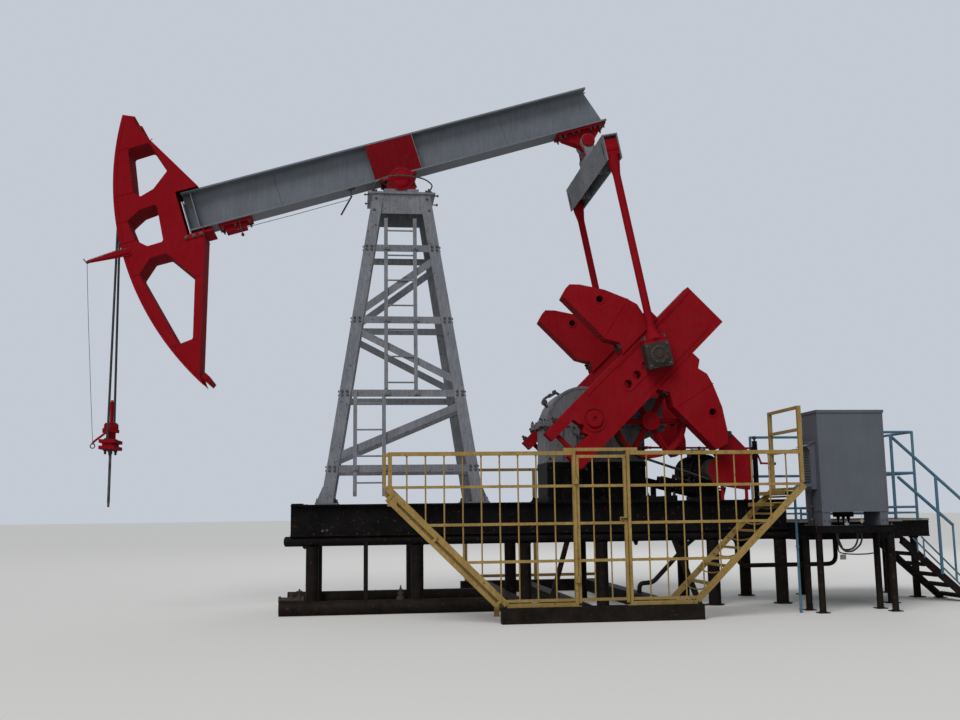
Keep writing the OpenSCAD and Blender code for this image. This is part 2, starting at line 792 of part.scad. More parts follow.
module walking_beam() {
    rear = sqrt(rear_arm * rear_arm - tail_drop * tail_drop) + 330;
    color(grey) in_beam() difference() {
        union() {
            translate([-beam_front, 0, beam_seat]) i_beam(beam_front + rear, beam_h, beam_w, flange_t, web_t);
            translate([-beam_front - end_t, -beam_w / 2, beam_seat - 116])
                cube([end_t, beam_w, beam_h]);
            translate([-beam_front + 105, -beam_w / 2 + 10, beam_seat + 10])
                cube([web_t, beam_w - 20, beam_h - 20]);
        }
        translate([rear, -300, beam_seat]) rotate([0, -16, 0]) cube([400, 600, 800]);
    }
}

module beam_panels() {
    color(red) in_beam() both()
        translate([-300, -beam_w / 2, beam_seat + flange_t]) cube([614, 10, beam_h - 2 * flange_t]);
}

module saddle_block() {
    color(red) in_beam() {
        translate([-230, -170, beam_seat - 30]) cube([460, 340, 30]);
        translate([-110, -150, 0]) cube([220, 300, beam_seat - 30]);
        disc(0, 0, saddle_shaft_r, -290, 290);
    }
}

module tail_bracket() {
    color(red) in_beam() {
        translate([tail_u - 350, -140, beam_seat - 30]) cube([660, 280, 30]);
        plate(-70, 70) polygon([[tail_u - 330, beam_seat], [tail_u - 285, beam_seat - 80],
            [tail_u - 60, -tail_drop - 40], [tail_u + 60, -tail_drop - 40],
            [tail_u + 200, beam_seat - 100], [tail_u + 300, beam_seat]]);
        disc(tail_u, -tail_drop, 80, -70, 70);
        disc(tail_u, -tail_drop, tail_shaft_r, -165, 165);
    }
}

function arc_x(w) = sqrt(front_arm * front_arm - w * w);
function head_pt(inset, w) = [inset - arc_x(w), w];

head_back = [head_pt(171, horn_h - 60), head_pt(169, horn_h - 100), head_pt(234, horn_h - 185),
    head_pt(294, horn_h - 199), head_pt(290, horn_h - 257), head_pt(head_depth + 45, beam_top - 2),
    head_pt(head_depth, -36), head_pt(67, -chin_h + 136), head_pt(-20, -chin_h - 41)];
head_holes = [
    [head_pt(161, 1282), head_pt(415, 1295), head_pt(671, 895), head_pt(487, 710), head_pt(321, 657), head_pt(237, 735)],
    [head_pt(136, 404), head_pt(292, 498), head_pt(509, 522), head_pt(503, 43), head_pt(308, 37), head_pt(184, 148)],
    [head_pt(111, -274), head_pt(301, -109), head_pt(501, -110), head_pt(715, -480), head_pt(305, -1211), head_pt(122, -1228)]];

module head_outline() {
    intersection() {
        polygon(concat([[-front_arm - 80, horn_h + 21], head_pt(-60, horn_h + 21)], head_back, [[-front_arm - 80, -chin_h - 41]]));
        circle(r = front_arm, $fn = 360);
    }
}

module rim_outline() {
    intersection() {
        head_outline();
        circle(r = front_arm - rope_groove, $fn = 360);
    }
}

head_notch = [[-beam_front - 50, beam_top + 5], [-beam_front - 50, beam_seat - 115],
    [-beam_front - 5, beam_seat - 115], [-beam_front - 5, beam_seat - 60], [0, beam_seat - 60], [0, beam_top + 5]];

module head_cheek() {
    difference() {
        head_outline();
        polygon(head_notch);
        for (h = head_holes) offset(r = 34, $fn = 24) offset(delta = -34) polygon(h);
    }
}

module horsehead() {
    half = head_w / 2;
    color(red) in_beam() {
        both() plate(-half, -half + head_t) head_cheek();
        difference() {
            plate(-half + head_t, half - head_t) difference() {
                rim_outline();
                offset(delta = -head_t) rim_outline();
            }
            translate([-beam_front - 60, -half, beam_seat]) cube([900, head_w, beam_h]);
        }
        translate([-beam_front, -half, beam_seat - 80]) cube([260, head_w, 24]);
        both() translate([-beam_front + 10, -110, beam_seat - 60]) cube([240, 30, 58]);
        plate(-half + head_t, half - head_t) for (h = head_holes) difference() {
            offset(r = 34, $fn = 24) offset(delta = -26) polygon(h);
            offset(r = 34, $fn = 24) offset(delta = -34) polygon(h);
        }
    }
}

module head_bracket() {
    color(red) in_beam() {
        translate([-beam_front + 330, -130, beam_seat - 40]) cube([420, 260, 40]);
        translate([-beam_front + 400, -90, beam_seat - 110]) cube([260, 180, 70]);
    }
}

rope_top = tilt + rope_wrap;

module head_ropes() {
    color(black) in_beam() for (y = [-rope_in, rope_in])
        translate([0, y, 0]) rotate([90, 0, 0])
            rotate_extrude(angle = rope_top - tilt, start = 180 - rope_top, $fn = 360)
                translate([rope_x, 0]) circle(r = rope_r, $fn = 24);
}

module bridle_ropes() {
    color(black) for (k = [-1, 1])
        pipe([-rope_x, k * rope_y, carrier_h + 116.5], [-rope_x, k * rope_in, saddle_h - 1.5], rope_r);
}

module carrier() {
    z = carrier_h;
    color(red) difference() {
        union() {
            translate([-rope_x - 90, -rope_y - 50, z]) cube([180, 2 * rope_y + 100, 40]);
            translate([-rope_x - 55, -rope_y - 30, z + 40]) cube([110, 2 * rope_y + 60, 35]);
            translate([-rope_x - 90, -rope_y - 50, z + 75]) cube([180, 2 * rope_y + 100, 40]);
            translate([-rope_x, 0, z + 115]) cylinder(r = 55, h = 90, $fn = 40);
            translate([-rope_x - 80, -70, z + 205]) cube([160, 140, 40]);
            translate([-rope_x, 0, z + 245]) cylinder(r = 45, h = 75, $fn = 40);
            translate([-rope_x, 0, z + 320]) cylinder(r = 19.5, h = rod_top - 20 - z - 320, $fn = 40);
        }
        translate([-rope_x, 0, z - 100]) cylinder(r = rod_r, h = 900, $fn = 40);
    }
}

module polished_rod() {
    color(black) translate([-rope_x, 0, rod_low + rod_pin_len])
        cylinder(r = rod_r, h = rod_top - rod_low - rod_pin_len, $fn = 40);
    color(black) translate([-rope_x, 0, rod_low]) cylinder(r = rod_pin_r, h = rod_pin_len, $fn = 40);
}

// Equalizer and pitmans

equalizer_drop = 430;

module equalizer() {
    top = -equalizer_drop + 150;
    color(grey) in_pitman() {
        both() translate([80, -1100, top - 300]) cube([14, 1100, 300]);
        both() translate([-94, -1100, top - 300]) cube([14, 1100, 300]);
        both() translate([-94, -1100, top]) cube([188, 1100, 16]);
    }
    color(red) in_pitman() difference() {
        union() {
            both() disc(0, 0, 90, -165, -76);
            both() translate([-70, -165, top + 16]) cube([140, 89, -top - 16]);
            translate([-90, -165, top + 16]) cube([180, 330, 60]);
        }
        disc(0, 0, tail_shaft_r + fit, -400, 400);
    }
}

module pitmans() {
    top = -equalizer_drop + 150;
    color(red) in_pitman() both() {
        translate([0, -rod_y, -pitman_len + 200]) cylinder(r = 46, h = pitman_len - 200 + top - 200, $fn = 40);
        translate([-79, -rod_y - 60, top - 240]) cube([158, 120, 200]);
        translate([-150, -rod_y - 80, -pitman_len + 150]) cube([300, 160, 50]);
    }
}

module wrist_bearings() {
    color(steel) in_pitman() both() {
        translate([-150, -wrist_in - wrist_w, -pitman_len - 150]) cube([300, wrist_w, 300]);
        disc(0, -pitman_len, 120, -wrist_in - wrist_w - 24, -wrist_in - wrist_w);
    }
}

// Cranks

module crank_shaft() {
    color(steel) in_crank() disc(0, 0, shaft_r, -crank_out - 30, crank_out + 30);
}

module cranks() {
    color(red) in_crank() both() difference() {
        translate([-535, -crank_out, -crank_w / 2]) cube([crank_tip + 535, crank_t, crank_w]);
        disc(0, 0, shaft_r, -crank_out - 100, -crank_in + 100);
        for (i = [0:hole_count - 1])
            disc(hole_first + i * hole_pitch, 0, hole_r, -crank_out - 100, -crank_in + 100);
        plate(-crank_out - 10, -crank_in + 10) polygon([[-600, 171], [-183, 171], [-168, 90], [-135, 40],
            [-212, -9], [-183, -79], [-600, -84]]);
    }
    color(steel) in_crank() both() disc(crank_r, 0, hole_r, -crank_out, -crank_in);
}

module counterweights() {
    h = crank_w / 2;
    pts = [[800, h], [870, h + 120], [780, h + 270], [780, 1285], [860, 1310], [940, 1330], [1030, 1240],
        [1200, 990], [1320, 720], [weight_len - 120, h + 290], [weight_len - 150, h + 170],
        [weight_len - 60, h + 110], [weight_len - 60, h]];
    color(red) in_crank() both() for (s = [0, 1]) mirror([0, 0, s]) difference() {
        plate(-weight_out, -weight_in) polygon(pts);
        disc(1075, 950, 42, -weight_out - 10, -weight_in + 10);
    }
}

// Sheave and pulley

module wheel(r, w, hub, bore, spokes) {
    difference() {
        union() {
            difference() {
                cylinder(r = r, h = w, $fn = 96);
                translate([0, 0, -1]) cylinder(r = r - 40, h = w + 2, $fn = 96);
            }
            cylinder(r = hub, h = w, $fn = 64);
            for (i = [0:spokes - 1]) rotate([0, 0, i * 360 / spokes])
                translate([hub - 10, -30, w / 2 - 25]) cube([r - 10 - hub, 60, 50]);
        }
        if (bore > 0) translate([0, 0, -1]) cylinder(r = bore, h = w + 2, $fn = 64);
    }
}

module sheave() {
    color(red) translate([sheave_x, -sheave_in - sheave_w, shaft_h]) rotate([-90, 0, 0])
        wheel(sheave_r, sheave_w, 90, 0, 6);
    color(steel) disc(sheave_x, shaft_h, fast_r, -sheave_in - 20, gear_half - 40);
}

module motor_pulley() {
    color(steel) {
        disc(motor_x, motor_z, pulley_r, -sheave_in - sheave_w, -sheave_in);
        disc(motor_x, motor_z, 23.9, -sheave_in, -motor_len / 2 + 150);
    }
}

ground_pipes();
sleepers();
piles();
deck_pipes();
base_beams();
cross_beams();
samson_legs();
samson_bracing();
saddle_base();
saddle_bearings();
ladders();
reducer_pedestal();
reducer_housing();
reducer_cover();
motor();
motor_mount();
v_belts();
belt_guard();
brake_rod();
fence_left();
fence_right();
gate_posts();
far_fence();
stair_left();
stair_right();
stair_rails();
platform();
platform_rails();
access_stair();
cabinet();
cabinet_hood();
cabinet_stand();
walking_beam();
beam_panels();
saddle_block();
tail_bracket();
horsehead();
head_bracket();
head_ropes();
bridle_ropes();
carrier();
polished_rod();
equalizer();
pitmans();
wrist_bearings();
crank_shaft();
cranks();
counterweights();
sheave();
motor_pulley();
gate();
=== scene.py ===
"""Beam pumping unit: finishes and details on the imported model, as an add-on with one operator for each group."""

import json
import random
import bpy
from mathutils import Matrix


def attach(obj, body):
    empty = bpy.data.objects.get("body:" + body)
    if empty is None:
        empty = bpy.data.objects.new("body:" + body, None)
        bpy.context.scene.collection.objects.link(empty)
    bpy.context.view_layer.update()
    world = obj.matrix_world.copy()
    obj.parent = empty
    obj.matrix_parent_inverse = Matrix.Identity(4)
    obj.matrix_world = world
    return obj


bl_info = {
    "name": "Beam Pumping Unit",
    "version": (1, 0, 0),
    "blender": (4, 5, 0),
    "location": "View3D > Sidebar > Pump",
    "description": "Paints the packed pumping unit and adds its bolts, ribs, hoses and fittings",
    "category": "Object",
}

from math import asin, atan2, copysign, cos, degrees, pi, radians, sin, sqrt

import bmesh
import bpy
from mathutils import Matrix, Vector

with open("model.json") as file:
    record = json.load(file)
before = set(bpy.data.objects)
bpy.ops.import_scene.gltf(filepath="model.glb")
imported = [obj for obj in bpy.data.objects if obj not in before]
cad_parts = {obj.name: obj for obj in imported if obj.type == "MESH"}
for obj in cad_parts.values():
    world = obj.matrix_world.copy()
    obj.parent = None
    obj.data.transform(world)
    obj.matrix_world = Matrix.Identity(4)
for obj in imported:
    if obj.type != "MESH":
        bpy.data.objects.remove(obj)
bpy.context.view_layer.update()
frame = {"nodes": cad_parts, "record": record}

# Places that the details are set from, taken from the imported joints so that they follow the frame
JOINTS = {j["name"]: j for j in frame["record"]["behaviour"]["joints"]}
SADDLE = Vector(JOINTS["beam_rock"]["pos_m"])
TAIL = Vector(JOINTS["equalizer_swing"]["pos_m"])
SHAFT = Vector(JOINTS["crank_turn"]["pos_m"])
SHEAVE = Vector(JOINTS["sheave_turn"]["pos_m"])
PULLEY = Vector(JOINTS["pulley_turn"]["pos_m"])
TAIL_DROP = 0.1
REAR_ARM = 2.5
CRANK_ANGLE = radians(44.6)
PIN_RADIUS = 1.055
PIN = SHAFT + Vector((PIN_RADIUS * cos(CRANK_ANGLE), 0, PIN_RADIUS * sin(CRANK_ANGLE)))
TILT = atan2(TAIL.z - SADDLE.z, TAIL.x) + asin(TAIL_DROP / REAR_ARM)
PITMAN_TILT = atan2(PIN.x - TAIL.x, TAIL.z - PIN.z)
BEAM = Matrix.Translation(SADDLE) @ Matrix.Rotation(-TILT, 4, "Y")
CRANK = Matrix.Translation(SHAFT) @ Matrix.Rotation(-CRANK_ANGLE, 4, "Y")
PITMAN = Matrix.Translation(TAIL) @ Matrix.Rotation(-PITMAN_TILT, 4, "Y")
WORLD = Matrix.Identity(4)

# Directions, with the head at the fore end and the fence on the near side
UP, DOWN, NEAR, FAR, FORE, REAR = (0, 0, 1), (0, 0, -1), (0, -1, 0), (0, 1, 0), (-1, 0, 0), (1, 0, 0)


def linear(hex_colour):
    """Turns an sRGB hex colour into the linear values that the shaders take."""
    parts = [int(hex_colour.lstrip("#")[i:i + 2], 16) / 255 for i in (0, 2, 4)]
    return (*(p / 12.92 if p <= 0.04045 else ((p + 0.055) / 1.055) ** 2.4 for p in parts), 1.0)


def fill(tree, node, inputs):
    """Links or sets a node's inputs, each by its name or number."""
    for key, value in inputs.items():
        if isinstance(value, bpy.types.NodeSocket):
            tree.links.new(value, node.inputs[key])
        else:
            node.inputs[key].default_value = value


def add(tree, kind, inputs, out=0, **settings):
    """Adds one node with its settings and links, and gives back one of its outputs."""
    node = tree.nodes.new("ShaderNode" + kind)
    for key, value in settings.items():
        setattr(node, key, value)
    fill(tree, node, inputs)
    return node.outputs[out]


def marks(tree, where, scale, detail, rough, span, to=(0.0, 1.0), stretch=(1, 1, 1)):
    """Marks at their real size: a cloud pattern cut off at both ends of a span, drawn out where the real mark runs."""
    placed = add(tree, "Mapping", {"Vector": where, "Scale": stretch})
    cloud = add(tree, "TexNoise", {"Vector": placed, "Scale": scale, "Detail": detail, "Roughness": rough})
    return add(tree, "MapRange", {"Value": cloud, "From Min": span[0], "From Max": span[1], "To Min": to[0],
                                  "To Max": to[1]})


def material(name):
    """A new material, its node tree, its shader and the object's own coordinates."""
    made = bpy.data.materials.new(name)
    made.use_nodes = True
    tree = made.node_tree
    return made, tree, tree.nodes["Principled BSDF"], add(tree, "TexCoord", {}, "Object")


def paint(name, colour, worn, rust="#4a2418", roughness=0.45, chips=0.0, streaks=0.35, dirt=0.0, mottle=0.35,
          bump=0.25, dirt_top=1.0, gloss=0.14):
    """Brushed alkyd enamel on steel: a base colour with a faded tone in patches, dark marks where rain
    runs, rust spots where it has chipped, and mud that fades out above the ground."""
    made, t, shader, where = material(name)
    # Patches of faded paint, about 300 mm across
    patches = marks(t, where, 3.4, 6, 0.62, (0.35, 0.72))
    fade = add(t, "Math", {0: patches, 1: mottle}, operation="MULTIPLY")
    tone = add(t, "Mix", {0: fade, 6: linear(colour), 7: linear(worn)}, 2, data_type="RGBA")
    # Rain marks, 15 mm wide and long, only down the faces that stand upright
    runs = marks(t, where, 9.0, 5, 0.6, (0.42, 0.66), (1.0, 0.0), (7, 7, 0.55))
    facing = add(t, "SeparateXYZ", {0: add(t, "NewGeometry", {}, "Normal")}, 2)
    tilt = add(t, "Math", {0: facing}, operation="ABSOLUTE")
    upright = add(t, "MapRange", {"Value": tilt, "From Min": 0.35, "From Max": 0.65, "To Min": streaks, "To Max": 0.0})
    wet = add(t, "Math", {0: runs, 1: upright}, operation="MULTIPLY")
    soot = (*(c * 0.5 for c in linear(colour)[:3]), 1)
    tone = add(t, "Mix", {0: wet, 6: tone, 7: soot}, 2, data_type="RGBA")
    dull, matt = patches, min(roughness + 0.14, 1.0)
    if chips > 0:
        # Chips down to rust, 5 to 30 mm across
        dull, matt = marks(t, where, 26.0, 8, 0.72, (0.6 - chips * 0.06, 0.66 - chips * 0.04)), 0.85
        tone = add(t, "Mix", {0: dull, 6: tone, 7: linear(rust)}, 2, data_type="RGBA")
    if dirt > 0:
        # Mud in blots of 170 mm, thick at the ground and gone at its top
        height = add(t, "SeparateXYZ", {0: add(t, "NewGeometry", {}, "Position")}, 2)
        low = add(t, "MapRange", {"Value": height, "From Max": dirt_top, "To Min": dirt, "To Max": 0.0})
        blots = marks(t, where, 6.0, 6, 0.65, (0.3, 0.7), (0.25, 1.0))
        mud = add(t, "Math", {0: low, 1: blots}, operation="MULTIPLY")
        tone = add(t, "Mix", {0: mud, 6: tone, 7: linear("#3a3128")}, 2, data_type="RGBA")
    # Brush marks and grit that catch the light, a few millimetres apart
    grit = add(t, "TexNoise", {"Vector": where, "Scale": 140.0, "Detail": 3, "Roughness": 0.6})
    wave = add(t, "TexNoise", {"Vector": where, "Scale": 22.0, "Detail": 4, "Roughness": 0.6})
    hills = add(t, "Math", {0: wave, 1: 0.7, 2: grit}, operation="MULTIPLY_ADD")
    fill(t, shader, {"Base Color": tone, "IOR": 1.5, "Specular IOR Level": gloss,
                     "Roughness": add(t, "MapRange", {"Value": dull, "To Min": roughness, "To Max": matt}),
                     "Normal": add(t, "Bump", {"Strength": bump, "Distance": 0.0022, "Height": hills})})
    return made


def bare_metal(name, colour, dark, roughness=0.55, metallic=0.8, scale=14.0):
    """Bare or greased steel: mottled brown and grey mill scale, with a little metal showing through."""
    made, t, shader, where = material(name)
    mill = marks(t, where, scale, 8, 0.68, (0.38, 0.62))
    pits = add(t, "TexNoise", {"Vector": where, "Scale": 90.0, "Detail": 5, "Roughness": 0.65})
    fill(t, shader, {"Base Color": add(t, "Mix", {0: mill, 6: linear(colour), 7: linear(dark)}, 2, data_type="RGBA"),
                     "Roughness": add(t, "MapRange", {"Value": mill, "To Min": roughness, "To Max": roughness + 0.25}),
                     "Metallic": metallic,
                     "Normal": add(t, "Bump", {"Strength": 0.35, "Distance": 0.002, "Height": pits})})
    return made


def wire_rope(name, pitch):
    """Greased wire rope: strands laid round it, drawn as slanted bands at their real pitch."""
    made, t, shader, where = material(name)
    turned = add(t, "Mapping", {"Vector": where, "Rotation": (0.0, 0.6, 0.5)})
    strand = add(t, "TexWave", {"Vector": turned, "Scale": 0.314 / pitch, "Distortion": 0.6, "Detail": 2.0}, 1,
                 bands_direction="Z")
    lit = add(t, "MapRange", {"Value": strand, "From Min": 0.2, "From Max": 0.8})
    steel = add(t, "Mix", {0: lit, 6: linear("#0c0c0d"), 7: linear("#2a2927")}, 2, data_type="RGBA")
    fill(t, shader, {"Base Color": steel, "Roughness": 0.42, "Metallic": 0.5,
                     "Normal": add(t, "Bump", {"Strength": 0.6, "Distance": 0.003, "Height": strand})})
    return made


def rubber(name, colour, roughness=0.6):
    """Extruded black rubber, matt, with dust in its fine grain."""
    made, t, shader, where = material(name)
    dust = marks(t, where, 30.0, 6, 0.6, (0.4, 0.8))
    coat = add(t, "Mix", {0: dust, 6: linear(colour), 7: linear("#3a3733")}, 2, data_type="RGBA")
    grain = add(t, "TexNoise", {"Vector": where, "Scale": 200.0, "Detail": 4.0, "Roughness": 0.55})
    fill(t, shader, {"Base Color": coat, "Roughness": roughness,
                     "Normal": add(t, "Bump", {"Strength": 0.2, "Distance": 0.001, "Height": grain})})
    return made


MADE = {}


def finishes():
    """The finishes of this machine, each made once; the darker red of the panels over the post is painted shade."""
    if MADE:
        return MADE
    s = bpy.context.scene.pump_colours
    MADE.update({
        # Signal red enamel, brushed on over castings and plate, dull on top and darker where rain runs
        "red": paint("red brushed enamel", s.red, "#801b22", roughness=0.65, chips=0.0, streaks=0.22, mottle=0.4,
                     bump=0.1, gloss=0.012),
        # The same red made darker on the panels over the post, as painted shade, with a few chips and rain marks
        "red_painted_shade": paint("darker red enamel as painted shade", "#650d14", "#6e171e", roughness=0.6, chips=0.1, streaks=0.4,
                         mottle=0.45, bump=0.1, gloss=0.012),
        # The same red on the rusty castings low down, with chips
        "red_worn": paint("red enamel chipped on castings", s.red, "#841c23", roughness=0.68, chips=0.3, streaks=0.2,
                          mottle=0.5, bump=0.08, gloss=0.012),
        # Blue grey enamel of the rolled beam, with long rain marks and a chalky bloom
        "beam": paint("grey enamel on rolled beam", s.beam_grey, "#70757a", roughness=0.55, streaks=0.28, mottle=0.5,
                      chips=0.0),
        # Lighter grey enamel of the post's angles
        "post": paint("grey enamel on angle steel", s.post_grey, "#84868a", roughness=0.55, streaks=0.45, mottle=0.5,
                      chips=0.18),
        # Grey enamel on the gear housing castings, oily in the hollows
        "housing": paint("grey enamel on cast housing", "#5c5b5e", "#727276", roughness=0.42, streaks=0.6, mottle=0.6,
                         chips=0.2),
        # Thick bitumen paint on the base, satin black with dust and mud low down
        "black": paint("black bitumen paint on base", s.black, "#1b1b1c", roughness=0.5, streaks=0.3, mottle=0.6,
                       chips=0.1, dirt=0.35, gloss=0.03, dirt_top=1.1, bump=0.4),
        # Ochre enamel on the fence tubes, sun bleached, with brown rust at joints and chips
        "ochre": paint("ochre enamel on fence tube", s.ochre, "#a58c56", rust="#5a3a20", roughness=0.6, chips=0.4,
                       mottle=0.6, dirt=0.3, dirt_top=0.7),
        # Blue grey enamel on the handrails
        "blue": paint("blue enamel on handrail", s.blue, "#5f7f8d", roughness=0.5, chips=0.4, streaks=0.3, mottle=0.5),
        # Grey hammered powder coat on the control cabinet, even, with faint rain marks
        "cabinet": paint("grey powder coat on sheet steel", s.cabinet, "#5d6067", roughness=0.55, streaks=0.12,
                         bump=0.12),
        # Wrist bearing castings, brown black with grease and rust
        "cast": bare_metal("rusty cast steel", "#1f1a18", "#372b21", roughness=0.6, metallic=0.35),
        # Machined shafts and pins, dull steel
        "steel": bare_metal("dull machined steel", "#5d5a56", "#3a332d", roughness=0.4, metallic=0.9),
        # Zinc plated bolts gone grey
        "zinc": bare_metal("weathered zinc bolts", "#55555a", "#3a3431", roughness=0.5, metallic=0.7, scale=60),
        # Galvanised strip along the platform's edge, pale and dull
        "galvanised": bare_metal("galvanised strip", "#8a8b8e", "#6d6b68", roughness=0.55, metallic=0.5, scale=60),
        # Laid steel rope, near black with grease, its strands just seen
        "rope": wire_rope("greased wire rope", 0.012),
        # Moulded belts, matt black, greyed by dust
        "rubber": rubber("black rubber belt", "#1a1a1b"),
        # Extruded sheaths of hoses and cables, a little smoother
        "hose": rubber("black cable sheath", "#111214", 0.5),
        # Pale plastic tags on the cables, a little dusty
        "tag": paint("pale plastic tag", "#a9a9a4", "#8f8f8a", roughness=0.5, streaks=0.1, mottle=0.3, chips=0.0,
                     bump=0.05),
    })
    return MADE


def put(name, data):
    """Adds an object with its data to the scene."""
    made = bpy.data.objects.new(name, data)
    bpy.context.scene.collection.objects.link(made)
    return made


def angles(count):
    """Evenly spaced angles, once round."""
    return [2 * pi * k / count for k in range(count)]


def turn_to(axis):
    """The turn that points a part's height along an axis."""
    return Vector(axis).to_track_quat("Z", "Y").to_matrix()


def skin(part, loops, closed):
    """Spans faces between loops of vertices, and joins the ends up or caps them."""
    for one, two in zip(loops, loops[1:] + loops[:1] if closed else loops[1:]):
        for i, j in zip(range(len(one)), [*range(1, len(one)), 0]):
            part.faces.new((one[i], one[j], two[j], two[i]))
    if not closed:
        part.faces.new(loops[0][::-1])
        part.faces.new(loops[-1])
    bmesh.ops.recalc_face_normals(part, faces=part.faces)


class Shop:
    """Collects solids in one mesh and turns them into a piece that rides on a body."""
    waiting = []

    def __init__(self, name, finish, body="frame", space=WORLD):
        self.name, self.finish, self.body, self.space = name, finish, body, space
        self.bm = bmesh.new()
        Shop.waiting.append(self)

    def join(self, part, turn=Matrix.Identity(3), middle=(0, 0, 0)):
        """Turns a part, moves it to its place and adds it to the piece."""
        bmesh.ops.rotate(part, cent=(0, 0, 0), matrix=turn, verts=part.verts)
        bmesh.ops.translate(part, vec=middle, verts=part.verts)
        mesh = bpy.data.meshes.new("step")
        part.to_mesh(mesh)
        part.free()
        self.bm.from_mesh(mesh)
        bpy.data.meshes.remove(mesh)

    def box(self, size, bevel, turn, middle):
        """A box with its edges broken."""
        part = bmesh.new()
        bmesh.ops.create_cube(part, size=1)
        bmesh.ops.scale(part, vec=size, verts=part.verts)
        if bevel:
            bmesh.ops.bevel(part, geom=part.edges[:], offset=min(bevel, min(size) * 0.3), segments=1, affect="EDGES")
        self.join(part, turn, middle)

    def block(self, low, high, bevel=0.004):
        """A plate or block between two opposite corners."""
        self.box([abs(h - l) for l, h in zip(low, high)], bevel, Matrix.Identity(3),
                 [(l + h) / 2 for l, h in zip(low, high)])

    def bar(self, start, end, wide, deep, bevel=0.003, roll=0.0):
        """A flat or square bar between two points."""
        start, end = Vector(start), Vector(end)
        turn = turn_to(end - start) @ Matrix.Rotation(roll, 3, "Z")
        self.box((wide, deep, (end - start).length), bevel, turn, (start + end) / 2)

    def rod(self, start, end, radius, sides=20, bevel=0.0):
        """A round rod between two points."""
        start, end = Vector(start), Vector(end)
        part = bmesh.new()
        bmesh.ops.create_cone(part, cap_ends=True, segments=sides, radius1=radius, radius2=radius,
                              depth=(end - start).length)
        if bevel:
            rims = [e for e in part.edges if len(e.link_faces) == 2 and any(len(f.verts) > 4 for f in e.link_faces)]
            bmesh.ops.bevel(part, geom=rims, offset=bevel, segments=2, affect="EDGES")
        self.join(part, turn_to(end - start), (start + end) / 2)

    def turned(self, middle, axis, profile, sides=40, hollow=False):
        """A turned piece from a profile of radius and height, with closed ends or hollow."""
        part = bmesh.new()
        skin(part, [[part.verts.new((r * cos(a), r * sin(a), h)) for a in angles(sides)] for r, h in profile], hollow)
        self.join(part, turn_to(Vector(axis).normalized()), middle)

    def ring(self, middle, axis, inner, outer, height, sides=40, bevel=0.002):
        """A flat ring lying on a face, with its middle on that face."""
        self.turned(middle, axis, ((inner, 0), (outer, 0), (outer, height - bevel), (outer - bevel, height),
                                   (inner + bevel, height), (inner, height - bevel)), sides, True)

    def bolt(self, place, axis, radius=0.012, height=0.012, stud=0.0, washer=True, spin=0.2):
        """A hexagon head or nut on its washer, with the end of its stud."""
        place, axis = Vector(place), Vector(axis).normalized()
        base = place + axis * radius * 0.2
        if washer:
            self.rod(place, base, radius * 1.35, 16)
        part = bmesh.new()
        bmesh.ops.create_cone(part, cap_ends=True, segments=6, radius1=radius, radius2=radius, depth=height)
        top = [e for e in part.edges if all(v.co.z > 0 for v in e.verts)]
        bmesh.ops.bevel(part, geom=top, offset=radius * 0.14, segments=1, affect="EDGES")
        self.join(part, turn_to(axis) @ Matrix.Rotation(spin, 3, "Z"), base + axis * height / 2)
        if stud:
            self.rod(base + axis * height * 0.5, base + axis * (height + stud), radius * 0.55, 12, 0.001)

    def bolts(self, places, axis, radius=0.012, height=0.012, stud=0.0, washer=True):
        """A bolt at each place, each turned a little further."""
        for i, place in enumerate(places):
            self.bolt(place, axis, radius, height, stud, washer, 0.3 + i * 1.1)

    def prism(self, outline, normal_axis, start, end, bevel=0.003, holes=()):
        """A flat plate cut to an outline in its own plane, between two distances along the plane's normal."""
        flat = bpy.data.curves.new("cut", "CURVE")
        flat.dimensions = "2D"
        flat.fill_mode = "BOTH"
        flat.extrude = abs(end - start) / 2 - bevel
        flat.bevel_depth = bevel
        flat.bevel_resolution = 0
        for loop in (outline, *holes):
            spline = flat.splines.new("POLY")
            spline.points.add(len(loop) - 1)
            for point, (x, y) in zip(spline.points, loop):
                point.co = (x, y, 0, 1)
            spline.use_cyclic_u = True
        flat.offset = -bevel
        made = put("cut", flat)
        mesh = bpy.data.meshes.new_from_object(made.evaluated_get(bpy.context.evaluated_depsgraph_get()))
        bpy.data.objects.remove(made)
        bpy.data.curves.remove(flat)
        part = bmesh.new()
        part.from_mesh(mesh)
        bpy.data.meshes.remove(mesh)
        bmesh.ops.remove_doubles(part, verts=part.verts, dist=1e-5)
        middle = (start + end) / 2
        for vert in part.verts:
            x, y, z = vert.co
            vert.co = (x, z + middle, y) if normal_axis == "Y" else (z + middle, x, y)
        bmesh.ops.recalc_face_normals(part, faces=part.faces)
        self.join(part)

    def tube(self, points, radius, sides=12, closed=False, radii=None):
        """A bent tube through the points, each ring square to the path."""
        points = [Vector(p) for p in points]
        part = bmesh.new()
        rings = []
        up = None
        count = len(points)
        for i, point in enumerate(points):
            before = points[i - 1] if i or closed else points[0]
            after = points[(i + 1) % count] if i < count - 1 or closed else points[-1]
            along = (after - before).normalized()
            if up is None:
                up = along.orthogonal().normalized()
            up = (up - along * up.dot(along)).normalized()
            side = along.cross(up)
            r = radii[i] if radii else radius
            rings.append([part.verts.new(point + (up * cos(a) + side * sin(a)) * r) for a in angles(sides)])
        skin(part, rings, closed)
        self.join(part)

    def weld(self, start, end, radius=0.005):
        """A weld bead, slightly uneven, along an edge."""
        start, end = Vector(start), Vector(end)
        count = max(4, min(60, int((end - start).length / 0.03)))
        seed = random.Random(self.name + str(round(start.x, 3)) + str(round(end.z, 3)))
        points = [start.lerp(end, i / count) for i in range(count + 1)]
        self.tube(points, radius, 8, radii=[radius * seed.uniform(0.8, 1.2) for _ in points])

